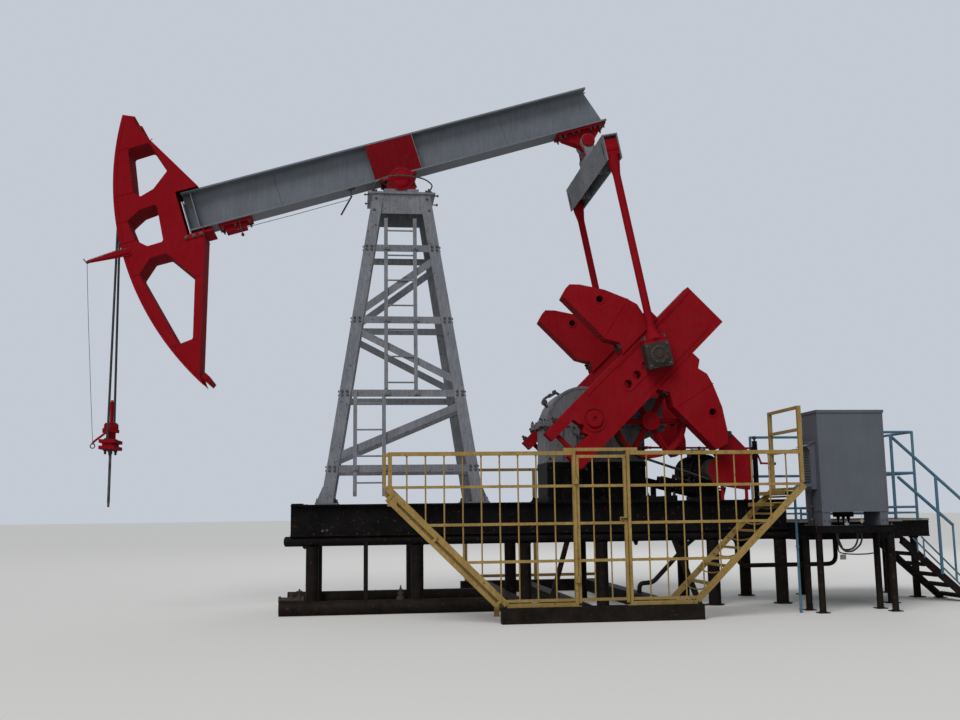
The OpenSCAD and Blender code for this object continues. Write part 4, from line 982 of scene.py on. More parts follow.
def add_cranks(sizes):
    # Half the crank width, its outer and inner faces and its middle plane
    half = 0.297
    out_face, in_face = 0.9, 0.72
    middle = 0.81
    trim = Shop("crank_trim", "red_worn", "cranks", CRANK)
    dark = Shop("crank_fittings", "cast", "cranks", CRANK)
    for side in (-1, 1):
        face = side * out_face
        # Raised strap round the pin holes and a boss ring round the shaft
        y0, y1 = face, side * (out_face + 0.008)
        ends = [(0.59 + 0.085 * cos(a), 0.085 * sin(a)) for a in (pi / 2 + pi * k / 12 for k in range(13))]
        ends += [(1.21 + 0.085 * cos(a), 0.085 * sin(a)) for a in (-pi / 2 + pi * k / 12 for k in range(13))]
        inner = [[(x + 0.052 * cos(a), 0.052 * sin(a)) for a in (-2 * pi * k / 28 for k in range(28))]
                 for x in (0.59, 0.745, 0.9, 1.055, 1.21)]
        trim.prism(ends, "Y", y0, y1, 0.002, holes=inner)
        trim.ring((0, face, 0), (0, side, 0), 0.122, 0.15, 0.01)
        trim.ring((0, side * in_face, 0), (0, -side, 0), 0.1, 0.15, 0.01)
        trim.turned((0, side * (out_face + 0.03), 0), (0, side, 0),
                    [(0.09, 0), (0.086, 0.004), (0.03, 0.004), (0.026, -0.004)], 36)
        # Machined guide ways with index teeth along both edges of the crank
        for edge in (-1, 1):
            trim.block((0.15, y0, edge * (half - 0.055)), (1.96, y1, edge * half), 0.002)
            for k in range(58):
                x = 0.64 + 0.0205 * k
                trim.block((x, y0, edge * (half - 0.075)), (x + 0.011, y1, edge * (half - 0.055)), 0)
        # Split tail clamped by two long bolts
        for x in (-0.47, -0.33):
            for z in (-1, 1):
                dark.bolt((x, side * middle, z * half), (0, 0, z), sizes.nut, 0.03, 0.03)
        # Bar across the mouth of the split tail
        trim.rod((-0.437, side * middle, -0.09), (-0.437, side * middle, 0.178), 0.03, 20)
        # Lifting stud at the tip
        trim.turned((1.965, side * middle, 0.16), REAR,
                    [(0.01, -0.012), (0.026, -0.006), (0.026, 0.004), (0.018, 0.008)], 16)
    pins = Shop("crank_pin_ends", "steel", "cranks", CRANK)
    for side in (-1, 1):
        pins.turned((PIN_RADIUS, side * in_face, 0), (0, -side, 0),
                    [(0.062, 0), (0.062, 0.028), (0.056, 0.034), (0.03, 0.036)], 6)
    weights = Shop("counterweight_trim", "red_worn", "cranks", CRANK)
    clamps = Shop("counterweight_bolts", "cast", "cranks", CRANK)
    hole_shade = Shop("lifting_hole_webs", "black", "cranks", CRANK)
    w_in, w_out = 0.69, 0.93
    hole_x, hole_z = 1.075, 0.95
    for side in (-1, 1):
        face = side * w_out
        y0, y1 = face, side * (w_out + 0.006)
        for edge in (-1, 1):
            # Cast ring round the lifting hole, and a rib over the foot
            weights.ring((hole_x, face, edge * hole_z), (0, side, 0), 0.043, 0.062, 0.007)
            weights.ring((hole_x, side * w_in, edge * hole_z), (0, -side, 0), 0.043, 0.062, 0.007)
            # A black disc in the middle of each lifting hole: painted shade inside the hole
            hole_shade.rod((hole_x, side * 0.79, edge * hole_z), (hole_x, side * 0.83, edge * hole_z), 0.0425, 28)
            for x, z, out in ((0.88, half + 0.055, FORE), (1.33, half + 0.09, REAR)):
                for y in (-0.06, 0.06):
                    clamps.bolt((x, side * middle + y, edge * z), out, 0.03, 0.03, 0.02)
            # Foot bolts that clamp the weight to the edge of the crank
            for x in (0.845, 1.385):
                for y in (0.73, 0.895):
                    clamps.bolt((x, side * y, edge * (half + 0.06)), (0, 0, edge), sizes.nut * 0.9, 0.03, 0.035)
            weights.weld((0.8, side * (w_out + 0.001), edge * (half + 0.3)),
                         (1.33, side * (w_out + 0.001), edge * (half + 0.42)), 0.005)
    return finish_step()


class PUMP_OT_cranks(bpy.types.Operator):
    """Adds the cranks' straps, bosses, guide ways and clamp bolts, and the counterweights' trim"""
    bl_idname = "pump.cranks"
    bl_label = "Crank and counterweight details"

    def execute(self, context):
        return add_cranks(context.scene.pump_sizes)


GEAR_HALF = 0.3
GEAR_FOOT = BASE_TOP + 0.48


def add_reducer(sizes):
    z = SHAFT.z
    cast = Shop("reducer_ribs", "housing")
    nuts = Shop("reducer_bolts", "cast")
    for side in (-1, 1):
        face = side * GEAR_HALF
        y0, y1 = face, face + side * 0.007
        # Raised rim round the arc of the cover, and along the edge of its rear part
        arc = [(SHAFT.x + r * cos(a), z + r * sin(a))
               for r, turn in ((0.457, range(37)), (0.425, range(36, -1, -1)))
               for a in (radians(175 - (175 - 46) * k / 36) for k in turn)]
        cast.prism(arc, "Y", y0, y1, 0.0015)
        cast.block((SHAFT.x + 0.33, y0, z + 0.29), (SHAFT.x + 0.995, y1, z + 0.317), 0.002)
        # Ribs from the joint down to the foot, and the webs under the bearing
        for x in (1.96, 2.54, 2.8):
            cast.prism([(x - 0.009, GEAR_FOOT + 0.03), (x + 0.009, GEAR_FOOT + 0.03), (x + 0.009, z - 0.032),
                        (x - 0.009, z - 0.032)], "Y", face, face + side * 0.022, 0.003)
        for x in (-0.11, 0.0, 0.11):
            cast.prism([(SHAFT.x + x - 0.01, GEAR_FOOT + 0.03), (SHAFT.x + x + 0.01, GEAR_FOOT + 0.03),
                        (SHAFT.x + x + 0.01, z - 0.145), (SHAFT.x + x - 0.01, z - 0.145)],
                       "Y", face, face + side * 0.038, 0.003)
        # Bearing covers, with their bolts
        cast.ring((SHAFT.x, side * 0.35, z), (0, side, 0), 0.1, 0.168, 0.012)
        nuts.bolts(circle((SHAFT.x, side * 0.362, z), (0, side, 0), 0.146, 8, 0.39), (0, side, 0), 0.012, 0.01)
        cast.ring((SHEAVE.x, face, z), (0, side, 0), 0.052 if side < 0 else 0.0, 0.12, 0.018)
        nuts.bolts(circle((SHEAVE.x, face + side * 0.018, z), (0, side, 0), 0.096, 6, 0.3), (0, side, 0), 0.01, 0.008)
        # Joint bolts: heads over the flange and nuts under it
        for x in (1.745, 1.86, 1.975, 2.48, 2.6, 2.72, 2.84, 3.1, 3.22):
            nuts.bolt((x, side * 0.309, z + 0.032), UP, 0.013, 0.014, 0.01, False)
            nuts.bolt((x, side * 0.309, z - 0.032), DOWN, 0.013, 0.014, 0.012, False)
        for x in (1.8, 2.06, 2.4, 2.66, 2.92):
            nuts.bolt((x, side * 0.31, GEAR_FOOT + 0.03), UP, 0.015, 0.018, 0.016)
            nuts.bolt((x, side * 0.345, GEAR_FOOT - 0.06), DOWN, 0.014, 0.016)
    for y in (-0.22, -0.075, 0.075, 0.22):
        for up in (-1, 1):
            nuts.bolt((1.728, y, z + up * 0.032), (0, 0, up), 0.013, 0.014, 0.012, False)
            nuts.bolt((3.262, y, z + up * 0.032), (0, 0, up), 0.012, 0.014, 0.012, False)
    # Lugs at the joint's front corners
    for side in (-1, 1):
        for up in (-1, 1):
            z0, z1 = sorted((z, z + up * 0.04))
            cast.block((1.672, side * 0.25, z0 + 0.0005), (1.716, side * 0.32, z1 - 0.0005), 0.006)
        nuts.bolt((1.692, side * 0.285, z + 0.04), UP, 0.017, 0.018, 0.014)
        nuts.bolt((1.692, side * 0.285, z - 0.04), DOWN, 0.017, 0.018, 0.018)
    # Inspection lid on the low rear part, with its bolts and handle
    top = z + 0.318
    cast.block((2.66, -0.2, top), (3.08, 0.2, top + 0.014), 0.004)
    for x in row((2.685, 0, 0), (3.055, 0, 0), 4):
        for y in (-0.178, 0.178):
            nuts.bolt((x.x, y, top + 0.014), UP, 0.01, 0.009)
    dark = Shop("reducer_fittings", "hose")
    dark.turned((3.15, 0.1, top), UP,
                [(0.022, 0), (0.022, 0.02), (0.034, 0.024), (0.04, 0.06), (0.03, 0.075), (0.01, 0.08)], 24)
    dark.tube(round_corners([(2.78, 0, top + 0.01), (2.78, 0, top + 0.055), (2.96, 0, top + 0.055),
                             (2.96, 0, top + 0.01)], 0.02, 5), 0.008, 10)
    # Lifting bar that stands over the cover's front shoulder
    arch = [(SHAFT.x - r * cos(radians(d)), -0.02, z + r * sin(radians(d))) for d, r in
            ((30, 0.452), (32, 0.53), (37, 0.545), (43, 0.53), (50, 0.505), (55, 0.498), (58, 0.452))]
    dark.tube(smooth_path(arch, 4), 0.017, 12)
    for d, size in ((33.5, 0.034), (46, 0.024), (54, 0.022)):
        a = radians(d)
        middle = Vector((SHAFT.x - 0.52 * cos(a), -0.02, z + 0.52 * sin(a)))
        dark.rod(middle - Vector((0, 0.045, 0)), middle + Vector((0, 0.045, 0)), size, 16, bevel=0.005)
    # Drain plug, level glass and the oil pipe along the foot
    dark.turned((2.18, -GEAR_HALF, GEAR_FOOT + 0.075), NEAR,
                [(0.026, 0), (0.026, 0.012), (0.018, 0.016), (0.018, 0.032)], 6)
    dark.turned((2.9, -GEAR_HALF, GEAR_FOOT + 0.16), NEAR,
                [(0.03, 0), (0.03, 0.01), (0.022, 0.014), (0.02, 0.01)], 24)
    # Pedestal: stiffeners under its top, bolts through its feet and its flanges
    stand = Shop("pedestal_ribs", "black")
    for side in (-1, 1):
        for x in (1.9, 2.05, 2.21, 2.49, 2.66, 2.82):
            stand.block((x - 0.007, side * 0.34, BASE_TOP + 0.03), (x + 0.007, side * 0.354, GEAR_FOOT - 0.06), 0.002)
        for x in (1.74, 1.9, 2.06, 2.22, 2.38, 2.54, 2.7, 2.86, 2.995):
            stand.bolt((x, side * 0.628, BASE_TOP + 0.024), UP, 0.018, 0.02, 0.022)
            stand.bolt((x, side * 0.558, BASE_TOP + 0.024), UP, 0.018, 0.02, 0.022)
        stand.weld((1.76, side * 0.343, BASE_TOP + 0.026), (2.975, side * 0.343, BASE_TOP + 0.026), sizes.bead)
        stand.weld((1.76, side * 0.343, GEAR_FOOT - 0.063), (2.975, side * 0.343, GEAR_FOOT - 0.063), sizes.bead)
    return finish_step()


class PUMP_OT_reducer(bpy.types.Operator):
    """Adds the gear housing's ribs, bolts, bearing covers, lid, lifting bar and plugs, and the pedestal's ribs"""
    bl_idname = "pump.reducer"
    bl_label = "Gear reducer details"

    def execute(self, context):
        return add_reducer(context.scene.pump_sizes)


def add_drive():
    near, far = -0.65, -0.46
    rim = Shop("sheave_grooves", "red_worn", "sheave")
    count = 5
    step = (far - near - 0.014) / count
    for k in range(count + 1):
        y = near + 0.007 + step * k
        rim.ring((SHEAVE.x, y - 0.0035, SHEAVE.z), FAR, 0.432, 0.446, 0.007, 72, 0.001)
    rim.ring((SHEAVE.x, near, SHEAVE.z), NEAR, 0.05, 0.112, 0.012)
    # Flanges along the spokes, so that each has the section of a T
    for k in range(6):
        a = k * pi / 3
        d = Vector((cos(a), 0, sin(a)))
        low, high = Vector((SHEAVE.x, -0.555, SHEAVE.z)) + d * 0.092, Vector((SHEAVE.x, -0.555, SHEAVE.z)) + d * 0.394
        rim.bar(low, high, 0.014, 0.12, 0.003, roll=pi / 2 if abs(d.z) < 0.99 else 0)
    hub = Shop("sheave_bush", "red_worn", "sheave")
    hub.turned((SHEAVE.x, near - 0.011, SHEAVE.z), NEAR,
               [(0.072, 0), (0.072, 0.008), (0.05, 0.01), (0.046, 0.004)], 36)
    hub.bolts(circle((SHEAVE.x, near - 0.019, SHEAVE.z), FAR, 0.06, 3), NEAR, 0.009, 0.006, washer=False)
    bush = Shop("pulley_bush", "cast", "motor_pulley")
    bush.turned((PULLEY.x, near, PULLEY.z), NEAR, [(0.06, 0), (0.06, 0.008), (0.034, 0.01), (0.03, 0.002)], 32)
    bush.bolts(circle((PULLEY.x, near - 0.008, PULLEY.z), FAR, 0.046, 3), NEAR, 0.008, 0.006, washer=False)
    for k in range(count + 1):
        y = near + 0.007 + step * k
        bush.ring((PULLEY.x, y - 0.0035, PULLEY.z), FAR, 0.122, 0.132, 0.007, 48, 0.001)
    lip = Shop("guard_lip", "red_worn")
    dark = Shop("guard_bolts", "cast")
    corners = [Vector((PULLEY.x + a, 0, PULLEY.z + b)) for a, b in
               ((-0.112, 0.007), (0.18, 0.46), (0.458, 0.167), (0.407, -0.247), (-0.05, -0.176))]
    y = -0.668
    middle = sum(corners, Vector()) / 5
    inner = [p + (middle - p).normalized() * 0.028 for p in corners]
    for k, (a, b) in enumerate(zip(inner, inner[1:] + inner[:1])):
        lip.tube([(p.x, y, p.z) for p in row(a, b, 9)], 0.0045, 8)
        for p in row(a.lerp(b, 0.08), a.lerp(b, 0.92), 4):
            q = p + (middle - p).normalized() * 0.02
            dark.bolt((q.x, y, q.z), NEAR, 0.009, 0.007)
    # Clip that holds the guard's top corner
    tip = corners[1]
    dark.block((tip.x - 0.05, y - 0.01, tip.z - 0.07), (tip.x + 0.016, y - 0.001, tip.z + 0.002), 0.003)
    dark.bar((tip.x - 0.06, y + 0.02, tip.z - 0.004), (tip.x + 0.03, y + 0.02, tip.z - 0.014), 0.06, 0.01, 0.002)
    dark.bolt((tip.x - 0.03, y - 0.01, tip.z - 0.04), NEAR, 0.013, 0.01)
    # Angle feet of the guard on the base, bolted down
    for x in (3.83, 4.13):
        dark.bolt((x, y + 0.035, BASE_TOP + 0.006), UP, 0.013, 0.012, 0.012)
        dark.bolt((x, y - 0.001, BASE_TOP + 0.15), NEAR, 0.011, 0.009)
    return finish_step()


class PUMP_OT_drive(bpy.types.Operator):
    """Adds the grooves and bushes of the sheave and the pulley, and the guard's lip and bolts"""
    bl_idname = "pump.drive"
    bl_label = "Sheave, pulley and guard"

    def execute(self, context):
        return add_drive()


def add_motor(sizes):
    middle = Vector((PULLEY.x, 0, PULLEY.z))
    fins = Shop("motor_fins", "black")
    for a in angles(44):
        if abs(degrees(a) - 270) < 32 or abs(degrees(a) - 90) < 14:
            continue
        d = Vector((cos(a), 0, sin(a)))
        side = Vector((-d.z, 0, d.x)) * 0.0028
        part = bmesh.new()
        verts = []
        for y in (-0.205, 0.215):
            for p, w in ((middle + d * 0.183, 1.5), (middle + d * 0.207, 0.7)):
                for s in (-1, 1):
                    q = p + side * w * s
                    verts.append(part.verts.new((q.x, y, q.z)))
        a0, a1, a2, a3, b0, b1, b2, b3 = verts
        for quad in ((a0, a1, a3, a2), (b0, b2, b3, b1), (a0, b0, b1, a1), (a2, a3, b3, b2), (a0, a2, b2, b0),
                     (a1, b1, b3, a3)):
            part.faces.new(quad)
        bmesh.ops.recalc_face_normals(part, faces=part.faces)
        fins.join(part)
    # End shields with their bolts, and rings of the cowl
    for y, s in ((-0.28, -1), (0.27, 1)):
        fins.ring((middle.x, y - s * 0.04, middle.z), (0, s, 0), 0.183, 0.2, 0.04, 48)
    fins.turned((middle.x, -0.28, middle.z), NEAR,
                [(0.15, 0), (0.13, 0.01), (0.07, 0.018), (0.06, 0.03), (0.03, 0.032)], 40)
    for y in (0.3, 0.33, 0.36):
        fins.ring((middle.x, y, middle.z), FAR, 0.199, 0.204, 0.006, 56, 0.001)
    for r in (0.05, 0.085, 0.12, 0.155):
        fins.ring((middle.x, 0.39, middle.z), FAR, r, r + 0.012, 0.006, 48, 0.001)
    # Terminal box with its lid and cable glands
    box = [(middle.x - 0.125, -0.11, middle.z + 0.17), (middle.x + 0.055, 0.09, middle.z + 0.262)]
    fins.block(*box, 0.006)
    fins.block((box[0][0] - 0.006, box[0][1] - 0.006, box[1][2] + 0.0005),
               (box[1][0] + 0.006, box[1][1] + 0.006, box[1][2] + 0.012), 0.003)
    fit = Shop("motor_bolts", "cast")
    fit.bolts([(x, y, box[1][2] + 0.012) for x in (box[0][0] + 0.01, box[1][0] - 0.01)
               for y in (box[0][1] + 0.01, box[1][1] - 0.01)], UP, 0.007, 0.005, washer=False)
    for y in (-0.02, 0.04):
        fit.turned((box[1][0], y, middle.z + 0.216), REAR,
                   [(0.02, 0), (0.02, 0.014), (0.015, 0.018), (0.015, 0.03)], 6)
    fit.tube([(middle.x + 0.02 * cos(a) + 0.095, 0.1, middle.z + 0.222 + 0.02 * sin(a)) for a in angles(20)], 0.006,
             10, True)
    fit.rod((middle.x + 0.095, 0.1, middle.z + 0.16), (middle.x + 0.095, 0.1, middle.z + 0.2), 0.01, 12)
    fit.bolts(circle((middle.x, -0.2815, middle.z), NEAR, 0.15, 4, 0.78), NEAR, 0.009, 0.008)
    # Feet bolts and the screws that tension the belts, on the sloping rails
    slope = Matrix.Translation(middle) @ Matrix.Rotation(radians(14.0), 4, "Y")
    for x in (-0.145, 0.145):
        for y in (-0.33, -0.19, 0.19, 0.33):
            p = slope @ Vector((x, y, -0.185))
            up = slope.to_3x3() @ Vector(UP)
            fit.bolt(p, up, 0.015, 0.018, 0.024)
    for y in (-0.33, 0.33):
        for x0, x1 in ((-0.4, -0.182), (0.182, 0.25)):
            fit.rod(slope @ Vector((x0, y, -0.18)), slope @ Vector((x1, y, -0.18)), 0.009, 12)
        for x in (-0.4, 0.245):
            low, high = slope @ Vector((x, y, -0.205)), slope @ Vector((x, y, -0.15))
            fit.bar(low, high, 0.02, 0.05, 0.003)
            fit.bolt(slope @ Vector((x - 0.01, y, -0.18)), slope.to_3x3() @ Vector(FORE), 0.014, 0.012)
    for x in (3.26, 3.81):
        for side in (-1, 1):
            fit.bolt((x, side * 0.57, BASE_TOP + 0.06), UP, sizes.bolt, 0.022, 0.024)
    return finish_step()


class PUMP_OT_motor(bpy.types.Operator):
    """Adds the motor's fins, cowl rings, terminal box, eye bolt and rail bolts"""
    bl_idname = "pump.motor"
    bl_label = "Motor and rails"

    def execute(self, context):
        return add_motor(context.scene.pump_sizes)


def add_brake():
    # Where the lever's post stands, and the pipe beside it
    x, y = 4.33, -0.4782
    pipe_y = -0.436
    lever = Shop("brake_lever", "black")
    lever.prism([(4.215, 1.79), (4.34, 1.925), (4.352, 1.925), (4.352, 1.79)], "Y", y - 0.035, y - 0.023, 0.002)
    lever.rod((x, y, 1.935), (x, y, 1.95), 0.033, 24, bevel=0.004)
    lever.rod((x, y, BASE_TOP), (x, y, 1.936), 0.0312, 28)
    lever.rod((x, y, BASE_TOP), (x, y, BASE_TOP + 0.012), 0.062, 24, bevel=0.003)
    lever.bolts(circle((x, y, BASE_TOP + 0.012), UP, 0.046, 4, 0.78), UP, 0.008, 0.008)
    lever.bar((4.3, y - 0.02, 1.87), (4.23, y - 0.02, 1.7), 0.012, 0.034, 0.003)
    lever.rod((4.3, y - 0.04, 1.87), (4.3, y + 0.01, 1.87), 0.012, 16, bevel=0.002)
    knob = Shop("brake_knob", "cast")
    knob.turned((x, y, 1.95), UP,
                [(0.012, 0), (0.012, 0.018), (0.024, 0.026), (0.028, 0.042), (0.022, 0.056), (0.008, 0.062)], 24)
    knob.turned((4.58, pipe_y, 1.672), REAR, [(0.017, -0.004), (0.02, 0.004), (0.02, 0.024), (0.012, 0.028)], 6)
    clips = Shop("brake_pipe_unions", "red_worn")
    for at in (3.02, 3.64, 4.2):
        z = 1.88 - 0.015 * (at - 2.96) / 1.39
        clips.turned((at - 0.016, pipe_y, z), (1, 0, -0.0108),
                     [(0.0135, 0), (0.019, 0.002), (0.019, 0.03), (0.0135, 0.032)], 6)
    return finish_step()


class PUMP_OT_brake(bpy.types.Operator):
    """Adds the brake lever with its post and knob, and the unions of the brake pipe"""
    bl_idname = "pump.brake"
    bl_label = "Brake lever and pipe unions"

    def execute(self, context):
        return add_brake()


FENCE_Y = 2.14
FENCE_BOTTOM = 0.17
FENCE_TOP = 1.745
FENCE_RAILS = tuple(FENCE_BOTTOM + d for d in (0.055, 0.45, 0.83, 1.215))
STAIR_TOP = 1.4


def add_base(sizes):
    # Underside of the base beams, the axis of the deck pipe below, and the line of both
    deck = BASE_TOP - 0.36
    pipe_z = deck - 0.057
    beam_y = 0.6
    steel = Shop("base_fittings", "black")
    heads = Shop("base_bolts", "cast")
    bright = Shop("base_bright_bolts", "zinc")
    for side in (-1, 1):
        # Pipe ends: pressed caps with a weld round them, and collars where the piles meet the deck pipe
        steel.turned((-1.34, side * beam_y, pipe_z), FORE,
                     [(0.0575, -0.01), (0.0575, 0), (0.052, 0.012), (0.036, 0.022), (0.012, 0.026)], 32)
        steel.ring((4.64, side * beam_y, pipe_z), REAR, 0.0, 0.0575, 0.01)
        for x in (-1.04, 0.16, 1.42, 2.34, 3.7, 4.54):
            steel.ring((x, side * beam_y, 0.0), UP, 0.073, 0.11, 0.012, 36)
            saddle = []
            for a in angles(32):
                dy = 0.075 * sin(a) * 0.74
                saddle.append((x + 0.075 * cos(a), side * beam_y + dy, pipe_z - sqrt(0.06 ** 2 - dy ** 2)))
            steel.tube(saddle, 0.006, 8, True)
        # Web stiffeners on the inner side of each beam, and the weld of the beam to its pipe
        for x in (-1.18, -0.3, 0.5, 1.18, 2.06, 2.6, 3.4, 4.15):
            steel.block((x - 0.005, side * 0.594, deck + 0.019), (x + 0.005, side * 0.528, BASE_TOP - 0.019), 0.001)
        for x0, x1 in ((-1.26, -0.95), (-0.7, -0.4), (0.0, 0.35), (0.9, 1.2), (1.7, 2.0), (2.6, 2.9), (3.4, 3.7),
                       (4.2, 4.5)):
            steel.weld((x0, side * 0.632, deck - 0.006), (x1, side * 0.632, deck - 0.006), sizes.bead)
        for x in (-1.02, -0.83, -0.53, -0.4, 0.06, 0.24, 0.93, 1.52, 2.16, 2.46, 3.62, 3.9, 4.43):
            heads.bolt((x, side * 0.648, deck + 0.018), UP, 0.012, 0.012)
        # Nuts of the post's feet under the beams' top flanges
        for sx in (-1, 1):
            for dx in (-0.165, 0.045):
                heads.bolt((sx * (0.955 + dx), side * 0.538, BASE_TOP - 0.018), DOWN, 0.02, 0.02)
    for x, z in ((-0.925, 0.934), (-0.876, 0.94)):
        bright.bolt((x, -0.606, z), NEAR, 0.012, 0.01)
    for x in (1.06, 1.48, 2.78, 3.56):
        bright.bolt((x, -0.606, 0.975), NEAR, 0.009, 0.008)
    # Stop plate on the beams' front ends
    for side in (-1, 1):
        steel.block((-1.282, side * 0.54, BASE_TOP), (-1.15, side * 0.66, BASE_TOP + 0.014), 0.002)
        steel.prism([(-1.15, deck - 0.1), (-1.1, deck - 0.1), (-1.1, deck - 0.133), (-1.128, deck - 0.145),
                     (-1.15, deck - 0.125)], "Y", side * 0.63, side * 0.618)
    # Square prop that stands on the near ground pipe
    steel.bar((-0.432, -0.742, 0.15), (-0.432, -0.662, 0.806), 0.05, 0.05, 0.003)
    # Raking tubes from the deck pipe to the ground, with their foot plates
    steel.bar((1.93, -0.6, 0.775), (1.745, -0.6, 0.16), 0.055, 0.055, 0.004)
    steel.bar((3.225, -0.6, 0.79), (3.51, -0.6, 0.006), 0.062, 0.062, 0.004)
    steel.block((3.44, -0.67, 0.0), (3.59, -0.53, 0.012), 0.003)
    steel.block((1.732, -0.665, 0.16), (1.82, -0.535, 0.172), 0.003)
    steel.tube(round_corners([(3.3, -0.6, 0.625), (2.951, -0.6, 0.278), (2.79, -0.6, 0.268), (2.78, -0.6, 0.16)],
                             0.05, 6), 0.027, 14)
    steel.bar((3.48, -0.6, 0.785), (3.31, -0.6, 0.655), 0.04, 0.04, 0.003)
    steel.prism([(2.725, deck - 0.112), (2.79, deck - 0.112), (2.775, deck - 0.16), (2.745, deck - 0.16)], "Y",
                -0.606, -0.594, 0.002)
    # Caps and valves on the ground pipes
    pipes = Shop("ground_pipe_fittings", "black")
    valves = Shop("ground_pipe_valves", "cast")
    y_pipe = beam_y + 0.073 + 0.08 + 0.0003
    for side in (-1, 1):
        y = side * y_pipe
        pipes.turned((1.16, y, 0.08), REAR,
                     [(0.08, 0), (0.08, 0.006), (0.072, 0.02), (0.046, 0.034), (0.014, 0.04)], 36)
        pipes.ring((-1.4, y, 0.08), FORE, 0.06, 0.08, 0.0, 36, 0.0)
        for x in (-1.25, -0.3, 0.62, 1.1):
            pipes.ring((x, y, 0.08), REAR, 0.0785, 0.083, 0.012, 36, 0.001)
    y = -y_pipe
    valves.rod((-1.395, y, 0.178), (-1.13, y, 0.178), 0.03, 20, bevel=0.004)
    valves.turned((-1.395, y, 0.178), FORE, [(0.042, -0.018), (0.042, 0.006), (0.034, 0.01), (0.03, 0.004)], 24)
    valves.turned((-1.13, y, 0.178), REAR, [(0.04, -0.018), (0.04, 0.006), (0.03, 0.012)], 24)
    for x, top in ((-1.255, 0.268), (-1.172, 0.296)):
        valves.turned((x, y, 0.19), UP,
                      [(0.034, 0), (0.034, 0.022), (0.018, 0.03), (0.012, top - 0.205), (0.009, top - 0.19)], 16)
        valves.ring((x, y, top - 0.03), UP, 0.026, 0.036, 0.008, 24)
        valves.bar((x - 0.03, y, top - 0.026), (x + 0.03, y, top - 0.026), 0.008, 0.01, 0.001)
    valves.turned((-0.038, y, 0.15), UP, [(0.048, 0), (0.048, 0.03), (0.034, 0.04), (0.036, 0.08), (0.024, 0.09),
                                          (0.022, 0.12), (0.012, 0.13), (0.006, 0.165)], 20)
    return finish_step()


class PUMP_OT_base(bpy.types.Operator):
    """Adds the base's bolts, stiffeners, pipe caps, pile collars, props, braces and pipe fittings"""
    bl_idname = "pump.base"
    bl_label = "Base beams, piles and pipes"

    def execute(self, context):
        return add_base(context.scene.pump_sizes)


def fence_floor(x):
    """Height of the fence's lower edge, which climbs along the stairs."""
    low_left, low_right, left, right = 0.985, 2.98, -0.22, 4.21
    if x < low_left:
        return FENCE_BOTTOM + (STAIR_TOP - FENCE_BOTTOM) * (low_left - x) / (low_left - left)
    if x > low_right:
        return FENCE_BOTTOM + (STAIR_TOP - FENCE_BOTTOM) * (x - low_right) / (right - low_right)
    return FENCE_BOTTOM


